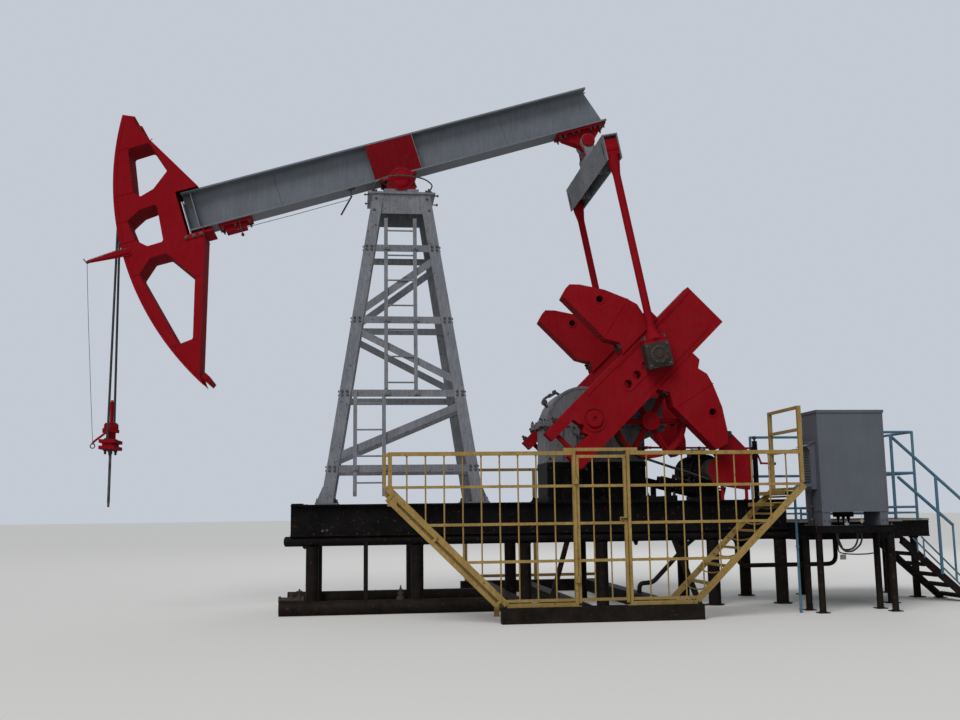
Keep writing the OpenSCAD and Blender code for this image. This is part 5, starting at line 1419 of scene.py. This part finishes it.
def add_fences():
    seed = random.Random(7)
    welds = Shop("fence_welds", "ochre")
    gate_welds = Shop("gate_welds", "ochre", "gate")
    for x0, x1 in ((-0.22, 1.695), (2.3, 4.21)):
        n = int((x1 - x0) / 0.188)
        for i in range(1, n):
            x = x0 + (x1 - x0) * i / n
            for z in FENCE_RAILS:
                if z > fence_floor(x) + 0.05:
                    for s in (-1, 1):
                        r = 0.0045 * seed.uniform(0.8, 1.3)
                        welds.rod((x + s * 0.008, -FENCE_Y - 0.01, z + 0.014),
                                  (x + s * 0.008, -FENCE_Y + 0.01, z + 0.014), r, 6)
            welds.rod((x, -FENCE_Y - 0.007, FENCE_TOP - 0.044), (x, -FENCE_Y + 0.007, FENCE_TOP - 0.044), 0.011, 8)
    gate_x0, gate_x1 = 1.731, 2.264
    for i in (1, 2):
        x = gate_x0 + (gate_x1 - gate_x0) * i / 3
        for z in FENCE_RAILS:
            for s in (-1, 1):
                gate_welds.rod((x + s * 0.008, -FENCE_Y - 0.01, z + 0.014),
                               (x + s * 0.008, -FENCE_Y + 0.01, z + 0.014), 0.005, 6)
    # Mitre welds at the gate's corners, and its latch
    for x in (gate_x0 + 0.015, gate_x1 - 0.015):
        for z in (FENCE_BOTTOM + 0.02, FENCE_TOP - 0.04):
            gate_welds.rod((x - 0.014, -FENCE_Y - 0.0155, z - 0.004),
                           (x + 0.014, -FENCE_Y - 0.0155, z - 0.03 if z > 1 else z + 0.022), 0.003, 6)
    gate_welds.block((gate_x1 - 0.08, -FENCE_Y - 0.021, 1.02), (gate_x1 - 0.002, -FENCE_Y - 0.015, 1.06), 0.001)
    latch = Shop("gate_latch", "cast", "gate")
    latch.rod((gate_x1 - 0.07, -FENCE_Y - 0.029, 1.04), (gate_x1 + 0.004, -FENCE_Y - 0.029, 1.04), 0.007, 12,
              bevel=0.001)
    latch.rod((gate_x1 - 0.05, -FENCE_Y - 0.029, 1.04), (gate_x1 - 0.05, -FENCE_Y - 0.06, 1.04), 0.005, 10)
    for x in (gate_x1 - 0.064, gate_x1 - 0.022):
        latch.ring((x - 0.003, -FENCE_Y - 0.029, 1.04), REAR, 0.0075, 0.011, 0.006, 16, 0.001)
    # Tube end caps and the brackets that hold the posts to the sleeper
    for x in (gate_x0 - 0.021, gate_x1 + 0.021):
        welds.block((x - 0.045, -FENCE_Y - 0.036, FENCE_BOTTOM - 0.01),
                    (x + 0.045, -FENCE_Y + 0.036, FENCE_BOTTOM - 0.002), 0.001)
    hold = Shop("fence_bolts", "cast")
    for x in (1.05, 1.37, 1.66, 2.34, 2.64, 2.93):
        hold.bolt((x, -FENCE_Y, FENCE_BOTTOM + 0.03), UP, 0.011, 0.009)
    # The second post and the lamp plate at the left end, and the double bar along the left stair
    welds.block((-0.272, -FENCE_Y - 0.014, STAIR_TOP - 0.01), (-0.24, -FENCE_Y + 0.014, FENCE_TOP - 0.012), 0.002)
    welds.block((-0.276, -FENCE_Y - 0.018, STAIR_TOP - 0.02), (-0.176, -FENCE_Y + 0.018, STAIR_TOP + 0.002), 0.002)
    welds.block((-0.25, -FENCE_Y - 0.018, FENCE_TOP - 0.046), (-0.215, -FENCE_Y + 0.018, FENCE_TOP - 0.01), 0.002)
    slope = Vector((0.985 + 0.22, 0, FENCE_BOTTOM + 0.02 - STAIR_TOP + 0.03)).normalized()
    square = Vector((slope.z, 0, -slope.x))
    top = Vector((-0.22, -FENCE_Y, STAIR_TOP - 0.03))
    for start, end in ((0.06, 0.7), (0.712, 1.64)):
        a, b = top + slope * start + square * 0.082, top + slope * end + square * 0.082
        welds.bar((a.x, a.y - 0.006, a.z), (b.x, b.y - 0.006, b.z), 0.036, 0.044, 0.003)
    for start in (0.075, 0.7, 1.61):
        a = top + slope * start
        b = a + square * 0.1
        welds.bar((a.x, a.y - 0.004, a.z), (b.x, b.y - 0.004, b.z), 0.05, 0.03, 0.002)
    a = top + slope * 0.11 + square * 0.05
    welds.block((a.x - 0.05, -FENCE_Y - 0.022, a.z - 0.062), (a.x + 0.048, -FENCE_Y + 0.022, a.z + 0.036), 0.003)
    # Stair treads: light round bars that sag between the strings, and the plates at the top of the right stair
    treads = Shop("stair_tread_wires", "ochre")
    for x0, x1, n in ((2.98, 4.21, 7), (0.985, -0.22, 7)):
        for i in range(1, n):
            f = (i - 0.35) / n
            x = x0 + (x1 - x0) * f
            z = FENCE_BOTTOM + (STAIR_TOP - 0.04 - FENCE_BOTTOM) * f + 0.03
            y0, y1 = -FENCE_Y + 0.06, -1.35
            treads.tube([(x, y0 + (y1 - y0) * k / 10, z - 0.034 * sin(pi * k / 10)) for k in range(11)], 0.007, 8)
    plates = Shop("stair_landing_plates", "ochre")
    for x, z in ((4.085, 1.3), (3.955, 1.18)):
        plates.block((x - 0.075, -FENCE_Y + 0.06, z), (x + 0.075, -1.35, z + 0.012), 0.002)
        for dx in (-0.075, 0.069):
            plates.block((x + dx, -FENCE_Y + 0.06, z - 0.03), (x + dx + 0.006, -1.35, z + 0.001), 0.001)
    return finish_step()


class PUMP_OT_fences(bpy.types.Operator):
    """Adds the fences' welds and bolts, the gate's latch, and the stairs' second bars and treads"""
    bl_idname = "pump.fences"
    bl_label = "Fences, gate and stairs"

    def execute(self, context):
        return add_fences()


CAB_X0, CAB_X1, CAB_Y0, CAB_Y1, CAB_Z0 = 4.515, 5.285, -1.87, -1.47, 1.09
DECK_TOP, LANDING_Y = 0.96, -1.0


def add_cabinet():
    grey = Shop("cabinet_sheet_details", "cabinet")
    # Rain lip under the lid, and the folded edges at the corners and the foot
    for low, high in (((4.506, -1.881), (5.294, -1.877)), ((4.506, -1.463), (5.294, -1.459)),
                      ((4.506, -1.881), (4.51, -1.459)), ((5.29, -1.881), (5.294, -1.459))):
        grey.block((*low, 2.168), (*high, 2.187), 0.001)
    for x in (CAB_X0, CAB_X1 - 0.022):
        grey.block((x, CAB_Y0 - 0.0025, CAB_Z0 + 0.004), (x + 0.022, CAB_Y0 + 0.001, 2.168), 0.001)
    grey.block((CAB_X0 + 0.001, CAB_Y0 - 0.002, CAB_Z0 - 0.012), (CAB_X1 - 0.001, CAB_Y0 + 0.002, CAB_Z0 + 0.002),
               0.001)
    grey.block((CAB_X0 + 0.001, CAB_Y1 - 0.002, CAB_Z0 - 0.012), (CAB_X1 - 0.001, CAB_Y1 + 0.002, CAB_Z0 + 0.002),
               0.001)
    # Two doors on the machine's side, each with a folded rim, louvres and a blank plate
    for x0, x1, hinge in ((4.532, 4.896, 4.527), (4.904, 5.268, 5.273)):
        grey.block((x0, CAB_Y1 - 0.001, 1.122), (x1, CAB_Y1 + 0.004, 2.15), 0.0015)
        for low, high in (((x0, 1.122), (x0 + 0.014, 2.15)), ((x1 - 0.014, 1.122), (x1, 2.15)),
                          ((x0, 1.122), (x1, 1.136)), ((x0, 2.136), (x1, 2.15))):
            grey.block((low[0], CAB_Y1 + 0.003, low[1]), (high[0], CAB_Y1 + 0.0065, high[1]), 0.001)
        for z in (1.23, 1.64, 2.05):
            grey.rod((hinge, CAB_Y1 + 0.007, z - 0.035), (hinge, CAB_Y1 + 0.007, z + 0.035), 0.007, 12, bevel=0.001)
        for base in (1.21, 1.96):
            for i in range(7):
                z = base + i * 0.018
                grey.prism([(CAB_Y1 + 0.003, z), (CAB_Y1 + 0.011, z), (CAB_Y1 + 0.003, z + 0.012)], "X", x0 + 0.09,
                           x1 - 0.09, 0.0)
    # Rain plate over the side hood, its cheeks and the slats below
    grey.prism([(4.404, 1.802), (4.516, 1.858), (4.516, 1.862), (4.404, 1.806)], "Y", -1.8, -1.54, 0.0008)
    for y in (-1.786, -1.558):
        grey.prism([(4.412, 1.804), (4.455, 1.826), (4.455, 1.755)], "Y", y, y + 0.004, 0.0005)
    for i in range(11):
        z = 1.42 + i * 0.03
        grey.prism([(4.456, z), (4.447, z), (4.456, z + 0.018)], "Y", -1.752, -1.588, 0.0)
    fittings = Shop("cabinet_locks", "zinc")
    fittings.block((4.87, CAB_Y1 + 0.004, 1.59), (4.89, CAB_Y1 + 0.01, 1.71), 0.003)
    fittings.rod((4.88, CAB_Y1 + 0.008, 1.65), (4.88, CAB_Y1 + 0.03, 1.65), 0.01, 16, bevel=0.001)
    fittings.bar((4.88, CAB_Y1 + 0.03, 1.658), (4.88, CAB_Y1 + 0.03, 1.56), 0.018, 0.01, 0.003)
    fittings.rod((4.918, CAB_Y1 + 0.003, 1.68), (4.918, CAB_Y1 + 0.011, 1.68), 0.011, 20, bevel=0.001)
    for x in (CAB_X0 + 0.03, CAB_X1 - 0.03):
        for y in (CAB_Y0 + 0.05, CAB_Y1 - 0.05):
            fittings.bolt((x, y, 2.2), UP, 0.008, 0.006)
    for x in (4.568, 5.232):
        for y in (-1.8665, -1.4735):
            fittings.bolts([(x - 0.025, y - copysign(0.0045, -y), 0.985),
                            (x + 0.025, y - copysign(0.0045, -y), 0.985)], (0, copysign(1, y), 0), 0.007, 0.006)
    for x in (4.486, 5.318):
        for y in (-1.85, -1.5):
            fittings.bolt((x, y, 0.93), UP, 0.013, 0.012, stud=0.01)
    # The pale gland under the hood and the clip below it
    fittings.turned((4.485, -1.67, 1.33), DOWN,
                    [(0.034, -0.004), (0.034, 0.01), (0.026, 0.014), (0.026, 0.036), (0.016, 0.042)], 8)
    fittings.block((4.462, -1.69, 1.126), (4.516, -1.65, 1.15), 0.003)
    fittings.turned((4.485, -1.67, 1.0), UP, [(0.018, -0.02), (0.022, -0.012), (0.022, 0.006), (0.018, 0.012)], 12)
    dark = Shop("cabinet_gland_box", "black")
    dark.block((4.76, -1.745, 1.022), (4.94, -1.6, 1.091), 0.004)
    for x in (4.79, 4.85, 4.91):
        dark.turned((x, -1.67, 1.022), DOWN,
                    [(0.02, -0.002), (0.02, 0.012), (0.015, 0.016), (0.015, 0.03), (0.011, 0.034)], 8)
        dark.rod((x, -1.67, 0.992), (x, -1.67, 0.928), 0.0085, 12)
    # Pads, caps and beads of the stand, and the rounded rail at its front
    for x in (4.475, 5.305):
        for y in (-1.84, -1.5):
            dark.block((x - 0.06, y - 0.06, 0.0), (x + 0.06, y + 0.06, 0.01), 0.002)
            dark.ring((x, y, 0.842), UP, 0.034, 0.042, 0.01, 28, 0.003)
            dark.ring((x, y, 0.006), UP, 0.034, 0.043, 0.012, 28, 0.003)
    for y in (-1.8765, -1.4635):
        dark.block((4.44, y - 0.004, 0.858), (5.35, y + 0.004, 0.866), 0.001)
        dark.block((4.44, y - 0.004, 0.914), (5.35, y + 0.004, 0.922), 0.001)
    for x in (4.73, 5.03):
        for y in (-1.44, -1.04):
            dark.bolt((x, y, 0.92), UP, 0.011, 0.01)
    # The bent conduit from the bracket to the base pipe
    bend = round_corners([(5.02, -1.06, 0.862), (5.02, -1.06, 0.478), (3.835, -1.06, 0.478), (3.835, -1.06, 0.76),
                          (3.835, -0.86, 0.8)], 0.11, 8)
    dark.tube(bend, 0.025, 20)
    for a in (Vector((5.02, -1.06, 0.79)), Vector((3.835, -1.06, 0.64))):
        dark.turned(a, UP, [(0.025, -0.03), (0.031, -0.026), (0.031, 0.026), (0.025, 0.03)], 20)
    pipe = Shop("cabinet_blue_conduit", "blue")
    pipe.tube(round_corners([(4.262, -1.76, 0.0), (4.262, -1.76, 1.372), (4.47, -1.76, 1.372)], 0.06, 6), 0.014, 16)
    for z in (0.03, 0.7):
        pipe.ring((4.262, -1.76, z), UP, 0.013, 0.018, 0.026, 16, 0.002)
    pipe.turned((4.44, -1.76, 1.372), REAR, [(0.014, -0.012), (0.021, -0.008), (0.021, 0.014), (0.014, 0.016)], 6)
    return finish_step()


class PUMP_OT_cabinet(bpy.types.Operator):
    """Adds the cabinet's folds, doors, louvres, rain plate and glands, the stand's pads and the conduits"""
    bl_idname = "pump.cabinet"
    bl_label = "Control cabinet"

    def execute(self, context):
        return add_cabinet()


def add_cables(sizes):
    sheath = sizes.cable / 2
    for i, (y, low, x0, x1) in enumerate(((-1.69, 0.642, 4.755, 5.04), (-1.655, 0.66, 4.785, 5.01))):
        glands = Shop("loop_glands_%d" % (i + 1), "cast")
        for x in (x0, x1):
            glands.turned((x, y, 0.851), DOWN, [(0.02, 0), (0.02, 0.014), (0.014, 0.018), (0.014, 0.024)], 8)
        middle = (x0 + x1) / 2 - 0.012
        path = [(x0, y, 0.848), (x0 - 0.002, y, 0.79), (x0 + 0.03, y, 0.705), (middle - 0.05, y + 0.004, low + 0.01),
                (middle, y + 0.006, low), (middle + 0.055, y + 0.004, low + 0.012), (x1 - 0.024, y, 0.715),
                (x1 + 0.004, y, 0.79), (x1, y, 0.848)]
        lay_cord("cabinet_cable_loop_%d" % (i + 1), smooth_path(path, 5), sheath * 0.72, 12,
                 [glands.done()])
    tag = Shop("cable_tag", "tag")
    tag.block((5.062, -1.084, 0.525), (5.137, -1.082, 0.583), 0.0006)
    tag.rod((5.1, -1.083, 0.578), (5.1, -1.083, 0.598), 0.0018, 8)
    path = [(5.27, -1.48, 0.612), (5.23, -1.41, 0.6), (5.16, -1.25, 0.592), (5.1, -1.12, 0.596), (5.058, -1.072, 0.618),
            (5.053, -1.066, 0.7), (5.052, -1.064, 0.858)]
    lay_cord("cabinet_cross_cable", smooth_path(path, 5), 0.0075, 12, [tag.done()])
    path = [(4.485, -1.67, 1.3), (4.478, -1.672, 1.23), (4.486, -1.669, 1.138), (4.484, -1.668, 1.02),
            (4.49, -1.67, 0.932)]
    lay_cord("cabinet_side_cable", smooth_path(path, 5), 0.011, 12, [])
    tags = Shop("gland_tags", "tag")
    for x, z in ((4.845, 0.946), (5.022, 0.978)):
        h = 0.03
        tags.prism([(x - h, z), (x, z - h), (x + h, z), (x, z + h)], "Y", -1.758, -1.756, 0.0006)
    wires = Shop("gland_tag_wires", "zinc")
    wires.tube([(4.845, -1.757, 0.966), (4.847, -1.757, 1.0), (4.85, -1.742, 1.024)], 0.0014, 8)
    wires.tube([(5.022, -1.757, 0.998), (5.02, -1.757, 1.05), (5.018, -1.75, 1.092)], 0.0014, 8)
    return finish_step()


class PUMP_OT_cables(bpy.types.Operator):
    """Hangs the cabinet's cables and puts on their blank tags"""
    bl_idname = "pump.cables"
    bl_label = "Cabinet cables and tags"

    def execute(self, context):
        return add_cables(context.scene.pump_sizes)


def add_platform():
    grid = Shop("platform_grating", "zinc")
    x = 4.66
    while x < 6.63:
        grid.block((x - 0.0015, LANDING_Y if x < 5.89 else -0.28, DECK_TOP - 0.002),
                   (x + 0.0015, 0.65, DECK_TOP + 0.014), 0.0)
        x += 0.034
    for i in range(17):
        y = -0.96 + i * 0.1
        grid.rod((4.642, y, DECK_TOP + 0.01), (5.898 if y < -0.28 else 6.638, y, DECK_TOP + 0.01), 0.003, 6)
    edge = Shop("platform_edge_strips", "galvanised")
    for low, high in (((4.638, -1.006), (5.906, -1.0)), ((5.9, -1.006), (5.906, -0.28)),
                      ((5.9, -0.286), (6.646, -0.28)), ((6.64, -0.286), (6.646, 0.656)),
                      ((4.638, 0.65), (6.646, 0.656)), ((4.634, -1.006), (4.64, 0.656))):
        edge.block((*low, DECK_TOP - 0.004), (*high, DECK_TOP + 0.02), 0.001)
    blue = Shop("platform_toe_rails", "blue")
    for z, r in ((1.123, 0.015), (1.052, 0.012)):
        for a, b in (((4.66, -0.982), (5.838, -0.982)), ((5.93, -0.262), (6.51, -0.262)),
                     ((6.51, -0.262), (6.51, 0.62)), ((6.51, 0.62), (4.7, 0.62))):
            blue.rod((*a, z), (*b, z), r, 16, bevel=0.001)
    for px, py in ((4.66, -0.982), (5.25, -0.982), (5.93, -0.262)):
        blue.rod((px, py, DECK_TOP), (px, py, 1.13), 0.012, 16, bevel=0.002)
    # Elbows and weld rings where the rails meet the posts
    posts = ((6.04, -0.26), (6.51, -0.26), (6.51, 0.62), (5.45, 0.62), (4.7, 0.62))
    for px, py in posts:
        for z in (1.55, 2.07):
            blue.ring((px, py, z - 0.022), UP, 0.0165, 0.0195, 0.006, 20, 0.001)
        blue.turned((px, py, 2.07), UP, [(0.017, -0.004), (0.017, 0.004), (0.013, 0.012), (0.004, 0.0165)], 20)
        blue.block((px - 0.04, py - 0.04, DECK_TOP + 0.012), (px + 0.04, py + 0.04, DECK_TOP + 0.02), 0.002)
    # The two light pipes above the near stringer, the lower post and the ties
    for a, b in (((6.03, 0.757), (6.69, 0.1)), ((6.136, 0.772), (6.7, 0.2))):
        blue.rod((a[0], -0.985, a[1]), (b[0], -0.985, b[1]), 0.01, 14, bevel=0.002)
    blue.rod((6.545, -0.985, 0.904), (6.545, -0.985, 0.24), 0.013, 16, bevel=0.002)
    for tx, z0, z1 in ((6.08, 0.59, 0.75), (6.66, 0.06, 0.24), (6.16, 0.52, 0.75)):
        blue.rod((tx, -0.985, z0), (tx, -0.985, z1), 0.009, 12)
    for z in (1.123, 1.48):
        blue.ring((5.84, -0.975, z - 0.012), UP, 0.0165, 0.0205, 0.024, 20, 0.002)
    blue.turned((5.84, -0.975, 1.97), UP, [(0.017, -0.004), (0.017, 0.004), (0.013, 0.012), (0.004, 0.0165)], 20)
    blue.turned((6.37, -0.985, 1.48), UP, [(0.017, -0.004), (0.0165, 0.003), (0.006, 0.008)], 20)
    # Blue paint on the stair's own posts and handrails
    for a, b in (((5.84, -0.975, 0.978), (5.84, -0.975, 1.972)), ((6.37, -0.985, 0.33), (6.37, -0.985, 1.482)),
                 ((5.838, -0.975, 1.972), (6.761, -0.985, 1.129)), ((5.898, -0.975, 1.482), (6.551, -0.985, 0.899))):
        blue.rod(a, b, 0.0182, 20, bevel=0.002)
    dark = Shop("access_stair_details", "black")
    for i in range(1, 6):
        x, z = 5.9 + 0.14 * i, 0.735 * (1 - (0.14 * i + 0.055) / 0.82)
        for k in range(8):
            dark.block((x + 0.006 + k * 0.0135, -0.938, z + 0.011), (x + 0.009 + k * 0.0135, -0.342, z + 0.022), 0.0)
        dark.block((x + 0.106, -0.938, z - 0.016), (x + 0.112, -0.342, z + 0.023), 0.001)
        dark.block((x - 0.002, -0.938, z - 0.016), (x + 0.004, -0.342, z + 0.023), 0.001)
        for y, s in ((-0.98, -1), (-0.3, 1)):
            dark.bolts([(x + 0.03, y, z - 0.004), (x + 0.08, y, z - 0.004)], (0, s, 0), 0.008, 0.007)
    for y in (-0.96, -0.32):
        dark.block((6.64, y - 0.055, 0.0), (6.77, y + 0.055, 0.008), 0.002)
        dark.block((5.892, y - 0.035, 0.72), (5.902, y + 0.035, 0.9), 0.002)
        dark.bolts([(5.902, y, 0.86)], REAR, 0.01, 0.009)
    # Flange edges of the channels under the deck's lip
    for z in (0.757, 0.93):
        dark.block((4.642, -1.005, z), (5.905, -0.999, z + 0.014), 0.002)
        dark.block((5.9, -0.285, z), (6.645, -0.279, z + 0.014), 0.002)
    for px, py in ((6.48, -0.18), (6.48, 0.56), (5.3, 0.56), (5.77, -0.88)):
        dark.ring((px, py, 0.735), UP, 0.044, 0.058, 0.02, 28, 0.003)
        dark.block((px - 0.075, py - 0.075, 0.0), (px + 0.075, py + 0.075, 0.012), 0.003)
    return finish_step()


class PUMP_OT_platform(bpy.types.Operator):
    """Adds the platform's grating, edge strips, toe rails and post feet, and the access stair's treads and pipes"""
    bl_idname = "pump.platform"
    bl_label = "Platform and access stair"

    def execute(self, context):
        return add_platform()


STEPS = (PUMP_OT_stage, PUMP_OT_finishes, PUMP_OT_head, PUMP_OT_pull_cord, PUMP_OT_carrier, PUMP_OT_beam,
         PUMP_OT_saddle, PUMP_OT_post, PUMP_OT_tail, PUMP_OT_wrist, PUMP_OT_cranks, PUMP_OT_reducer, PUMP_OT_drive,
         PUMP_OT_motor, PUMP_OT_brake, PUMP_OT_base, PUMP_OT_fences, PUMP_OT_cabinet, PUMP_OT_cables,
         PUMP_OT_platform)


class PUMP_PT_panel(bpy.types.Panel):
    """Lists the sizes, colours and steps of the pumping unit"""
    bl_label = "Beam pumping unit"
    bl_idname = "PUMP_PT_panel"
    bl_space_type = "VIEW_3D"
    bl_region_type = "UI"
    bl_category = "Pump"

    def draw(self, context):
        column = self.layout.column()
        for group in (context.scene.pump_sizes, context.scene.pump_colours):
            for key in group.__annotations__:
                column.prop(group, key)
        for step in STEPS:
            column.operator(step.bl_idname)


CLASSES = (PumpColours, PumpSizes, *STEPS, PUMP_PT_panel)


def register():
    for kind in CLASSES:
        bpy.utils.register_class(kind)
    bpy.types.Scene.pump_colours = bpy.props.PointerProperty(type=PumpColours)
    bpy.types.Scene.pump_sizes = bpy.props.PointerProperty(type=PumpSizes)


def unregister():
    del bpy.types.Scene.pump_sizes
    del bpy.types.Scene.pump_colours
    for kind in reversed(CLASSES):
        bpy.utils.unregister_class(kind)


def main():
    register()
    for step in STEPS:
        getattr(bpy.ops.pump, step.bl_idname.split(".")[1])()


if __name__ == "__main__":
    main()
